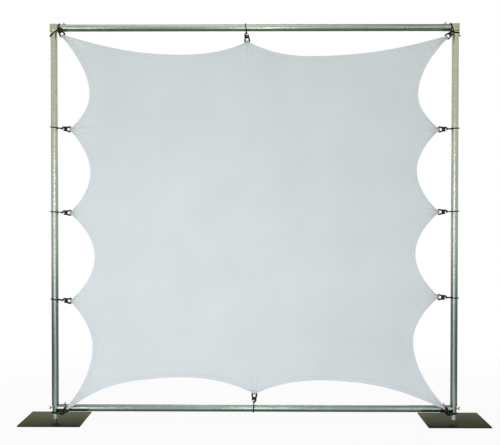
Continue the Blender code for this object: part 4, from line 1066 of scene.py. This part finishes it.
def tipLine(tie, way, half):
    # Across one mouth: down its side, along the tail's end and up the other side. Half of it at a corner.
    cells = sheetShape["tipCells"]
    turn = sideOf(tie, way)
    mouth, tail, depth = sheetShape["bunchHalf"], sheetShape["tailHalf"], sheetShape["bunchTail"]
    path = [(0, -mouth), (depth, -tail), (depth, tail), (0, mouth)]
    counts = [cells // 3, cells, cells // 3]
    if half:
        path = [(depth, 0), (depth * 0.72, tail), (0, mouth)]
        counts = [cells // 2, cells // 4]
    points = []
    for (a, b), count in zip(zip(path, path[1:]), counts):
        for i in range(count):
            k = i / count
            points.append(bunchPoint(tie, a[0] + (b[0] - a[0]) * k, turn * (a[1] + (b[1] - a[1]) * k)))
    return points


def edgeLine(edge):
    stops = [tieByName[n] for n in edgeStops[edge]]
    way = (stops[-1]["mouth"] - stops[0]["mouth"]).normalized()
    cells = sheetShape["sideCells"] if edge in ("left", "right") else sheetShape["longCells"]
    points = tipLine(stops[0], way, True)
    for number in range(len(stops) - 1):
        start, line, end = scallopLine(edge, number, cells)
        points += [start, *line]
        if number < len(stops) - 2:
            points += tipLine(stops[number + 1], way, False)
    back = tipLine(stops[-1], -way, True)
    return points + [end] + list(reversed(back))


def fadeShare(distance, run):
    t = min(distance / run, 1)
    return 1 - t * t * (3 - 2 * t)


cornerMouths = [tie["mouth"] for tie in ties if abs(tie["mouth"].y) > 0]


def sheetDepth(x, z):
    # How far the cloth stands off the middle plane: forward at the corners, in pleats that fan from each tip
    depth = 0
    for mouth in cornerMouths:
        depth += mouth.y * fadeShare(math.hypot(x - mouth.x, z - mouth.z), sheetShape["cornerBlend"])
    for number, tie in enumerate(ties):
        away = Vector((x - tie["mouth"].x, 0, z - tie["mouth"].z))
        distance = away.length
        if distance > pleatShape["reach"]:
            continue
        forward = max(away.dot(tie["along"]), 0)
        lateral = away.dot(tie["across"])
        fan = math.atan2(lateral, forward + sheetShape["bunchHalf"]) / (math.pi / 4)
        sway = pleatShape["sway"] * math.sin(pleatShape["swayTurns"] * fan + number)
        wave = math.cos(math.pi * pleatShape["count"] * fan + sway)
        slow = math.cos(math.pi * pleatShape["slowCount"] * fan + pleatShape["slowTurn"] * number)
        depth += wave * pleatShape["height"] * math.exp(-((distance / pleatShape["run"]) ** 2))
        kind = "corner" if abs(tie["mouth"].y) > 0 else "crease"
        mixed = pleatShape["waveShare"] * wave + (1 - pleatShape["waveShare"]) * slow
        depth += mixed * pleatShape[kind + "Height"] * math.exp(-distance / pleatShape[kind + "Run"])
    return depth


def shareOf(line, point, axis):
    return (point[axis] - line[0][axis]) / (line[-1][axis] - line[0][axis])


def sharesAlong(low, high, axis):
    return [(shareOf(low, a, axis) + shareOf(high, b, axis)) / 2 for a, b in zip(low, high)]


def relaxedGrid(points, rows, columns):
    # Draws each inner point to the middle of its four neighbours, so that no cell folds over
    for step in range(sheetShape["relaxSteps"]):
        eased = list(points)
        for j in range(1, rows - 1):
            for k in range(j * columns + 1, (j + 1) * columns - 1):
                eased[k] = (points[k - 1] + points[k + 1] + points[k - columns] + points[k + columns]) / 4
        points = eased
    return points


def makeSheet():
    edges = {edge: [p.copy() for p in edgeLine(edge)] for edge in edgeStops}
    for line in edges.values():
        for p in line:
            p.y = 0
    left, right, bottom, top = (edges[k] for k in ("left", "right", "bottom", "top"))
    uShares = sharesAlong(bottom, top, 0)
    vShares = sharesAlong(left, right, 2)
    columns, rows = len(bottom), len(left)
    spread = sheetShape["spread"]
    vertices = []
    for j in range(rows):
        for i in range(columns):
            u, v = uShares[i], vShares[j]
            evenU = u + (i / (columns - 1) - u) * (1 - fadeShare(min(v, 1 - v), spread))
            evenV = v + (j / (rows - 1) - v) * (1 - fadeShare(min(u, 1 - u), spread))
            low = bottom[0] * (1 - evenU) + bottom[-1] * evenU
            high = top[0] * (1 - evenU) + top[-1] * evenU
            p = left[j] * (1 - evenU) + right[j] * evenU
            p += (bottom[i] - low) * (1 - evenV) + (top[i] - high) * evenV
            p.x += (evenU - u) * (bottom[-1].x - bottom[0].x)
            p.z += (evenV - v) * (left[-1].z - left[0].z)
            vertices.append(p)
    vertices = relaxedGrid(vertices, rows, columns)
    for p in vertices:
        p.y = sheetDepth(p.x, p.z)
    faces = [(j * columns + i, j * columns + i + 1, (j + 1) * columns + i + 1, (j + 1) * columns + i)
             for j in range(rows - 1) for i in range(columns - 1)]
    mesh = bpy.data.meshes.new("stretchSheet")
    mesh.from_pydata(vertices, [], faces)
    sheet = addPiece("stretchSheet", mesh, sheetFinish)
    body = sheet.modifiers.new("cloth", "SOLIDIFY")
    body.thickness = sheetShape["thickness"]
    body.offset = 0
    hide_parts("stretch_fabric")
    return sheet, rows, columns


sheet, sheetRows, sheetColumns = makeSheet()


def hemSection(width):
    # From the folded edge inwards: how far in, and half the thickness there
    half = hemShape["half"]
    return [(-1.2 * mm, half * 0.35), (-0.7 * mm, half * 0.85), (0.8 * mm, half), (width * 0.5, half),
            (width, half), (width + 0.6 * mm, half * 0.75)]


def makeHem():
    # A turned hem: a flat sleeve round the sheet's edge, narrower where the cloth is gathered
    work = bmesh.new()
    uvLayer = work.loops.layers.uv.new("map")
    for edge in edgeStops:
        cells = 2 * (sheetShape["sideCells"] if edge in ("left", "right") else sheetShape["longCells"])
        for number in range(len(edgeStops[edge]) - 1):
            start, line, end = scallopLine(edge, number, cells)
            points = [start, *line, end]
            lengths = [0.0]
            for a, b in zip(points, points[1:]):
                lengths.append(lengths[-1] + (b - a).length)
            rings = []
            for i, p in enumerate(points):
                tangent = (points[min(i + 1, len(points) - 1)] - points[max(i - 1, 0)]).normalized()
                tangent.y = 0
                inward = Vector((0, 1, 0)).cross(tangent).normalized()
                if inward.dot(inwardOf[edge]) < 0:
                    inward.negate()
                nearest = min(lengths[i], lengths[-1] - lengths[i])
                gathered = fadeShare(nearest + hemShape["fadeStart"], hemShape["fadeRun"])
                width = max(hemShape["width"] * (1 - gathered), hemShape["leastWidth"])
                front = []
                back = []
                for across, half in hemSection(width):
                    q = p + inward * across
                    depth = sheetDepth(q.x, q.z)
                    share = min(max(across / width, 0), 1)
                    front.append((work.verts.new((q.x, depth - half, q.z)), share))
                    back.append((work.verts.new((q.x, depth + half, q.z)), share))
                rings.append(front + list(reversed(back)))
            count = len(rings[0])
            for i in range(len(rings) - 1):
                for k in range(count):
                    quad = [(i, k), (i, (k + 1) % count), (i + 1, (k + 1) % count), (i + 1, k)]
                    face = work.faces.new([rings[r][c][0] for r, c in quad])
                    for loop, (r, c) in zip(face.loops, quad):
                        loop[uvLayer].uv = (lengths[r], rings[r][c][1])
            for ring in (rings[0], rings[-1]):
                work.faces.new([vertex for vertex, share in ring])
    bmesh.ops.recalc_face_normals(work, faces=work.faces)
    mesh = bpy.data.meshes.new("turnedHem")
    work.to_mesh(mesh)
    work.free()
    return addPiece("turnedHem", mesh, hemFinish)


hem = makeHem()
print("hem made")


# Small parts that only the scene has: clamp springs, splice screws

springShape = {
    "coilRadius": 6.0 * mm, "wireRadius": 0.4 * mm, "turns": 4.5, "halfWidth": 4.1 * mm,
    "legEnd": 7 * mm, "legGap": 0.15 * mm, "stepsPerTurn": 20, "sides": 8,
}


def springWire():
    steel, tree, shader = startFinish("springWire", 1.0, 0.3)
    grain = placeGroup(tree, fineGrain, -300, 0, Scale=2500.0)
    shade = colorMix(tree, 0, 100, grain.outputs["Shade"], (0.36, 0.36, 0.35), (0.55, 0.55, 0.53))
    tree.links.new(shade.outputs[2], shader.inputs["Base Color"])
    addBump(tree, shader, grain.outputs["Height"], 0.1, 0.0001)
    return steel


springFinish = springWire()


def makeSpring(tie):
    # A torsion spring round the knuckle, with a leg along the inside of each handle
    along, across, pin = tie["along"], tie["across"], tie["pinAxis"]
    coil, turns, half = springShape["coilRadius"], springShape["turns"], springShape["halfWidth"]
    steps = int(turns * springShape["stepsPerTurn"])
    legAcross = coil + springShape["legGap"]
    local = [(-springShape["legEnd"], legAcross, -half)]
    for i in range(steps + 1):
        angle = math.pi / 2 - 2 * math.pi * turns * i / steps
        local.append((coil * math.cos(angle), coil * math.sin(angle), -half + 2 * half * i / steps))
    local.append((-springShape["legEnd"], -legAcross, half))
    path = [tie["pivot"] + along * u + across * v + pin * w for u, v, w in local]
    name = camelName(tie["name"]) + "Spring"
    wire = tubeMesh(name, path, springShape["wireRadius"], springShape["sides"], closed=False)
    addPiece(name, wire, springFinish)


for tie in ties:
    makeSpring(tie)

spliceScrews = {
    "places": (-0.172, 0.185, 0.2715), "headRadius": 4.5 * mm, "headHeight": 2.4 * mm, "sunk": 0.6 * mm,
    "sides": 24, "recess": (5.2 * mm, 0.9 * mm), "clear": 0.1 * mm,
    "domeShares": [(0.0, 1.0), (0.35, 0.98), (0.7, 0.8), (0.93, 0.45), (1.0, 0.0)],
}


def makeSpliceScrew(number, x):
    # A pan head turned from its profile, with a crossed recess cut in the top
    work = bmesh.new()
    radius, height, sides = spliceScrews["headRadius"], spliceScrews["headHeight"], spliceScrews["sides"]
    profile = [(share, height * rise) for share, rise in spliceScrews["domeShares"]]
    profile += [(1.0, -spliceScrews["sunk"]), (0.0, -spliceScrews["sunk"])]
    rings = []
    for share, z in profile:
        count = sides if share else 1
        ring = []
        for k in range(count):
            angle = 2 * math.pi * k / sides
            ring.append(work.verts.new((radius * share * math.cos(angle), radius * share * math.sin(angle), z)))
        rings.append(ring)
    for low, high in zip(rings, rings[1:]):
        for k in range(sides):
            a, b = low[k % len(low)], low[(k + 1) % len(low)]
            c, d = high[(k + 1) % len(high)], high[k % len(high)]
            corners = list(dict.fromkeys([a, b, c, d]))
            if len(corners) > 2:
                work.faces.new(corners)
    bmesh.ops.recalc_face_normals(work, faces=work.faces)
    mesh = bpy.data.meshes.new(f"spliceScrew{number}")
    work.to_mesh(mesh)
    work.free()
    slotCut = bpy.data.meshes.new("slotCut")
    cut = bmesh.new()
    long, narrow = spliceScrews["recess"]
    for size in ((long, narrow), (narrow, long)):
        made = bmesh.ops.create_cube(cut, size=1)
        bmesh.ops.scale(cut, vec=(*size, height), verts=made["verts"])
        bmesh.ops.translate(cut, vec=(0, 0, height), verts=made["verts"])
    cut.to_mesh(slotCut)
    cut.free()
    head = bpy.data.objects.new("head", mesh)
    tool = bpy.data.objects.new("tool", slotCut)
    for made in (head, tool):
        bpy.context.scene.collection.objects.link(made)
    boolean = head.modifiers.new("recess", "BOOLEAN")
    boolean.operation = "DIFFERENCE"
    boolean.solver = "EXACT"
    boolean.use_self = True
    boolean.object = tool
    bpy.context.view_layer.update()
    final = bpy.data.meshes.new_from_object(head.evaluated_get(bpy.context.evaluated_depsgraph_get()))
    for made in (head, tool):
        bpy.data.objects.remove(made)
    top = topRailZ + screenSize["pipeRadius"] + spliceScrews["clear"]
    final.transform(Matrix.Translation((x, 0, top)))
    final.set_sharp_from_angle(angle=math.radians(35))
    addPiece(f"spliceScrew{number}", final, screwFinish)


for number, x in enumerate(spliceScrews["places"], 1):
    makeSpliceScrew(number, x)
print("springs and splice screws made")

bpy.context.scene.view_settings.view_transform = "Standard"
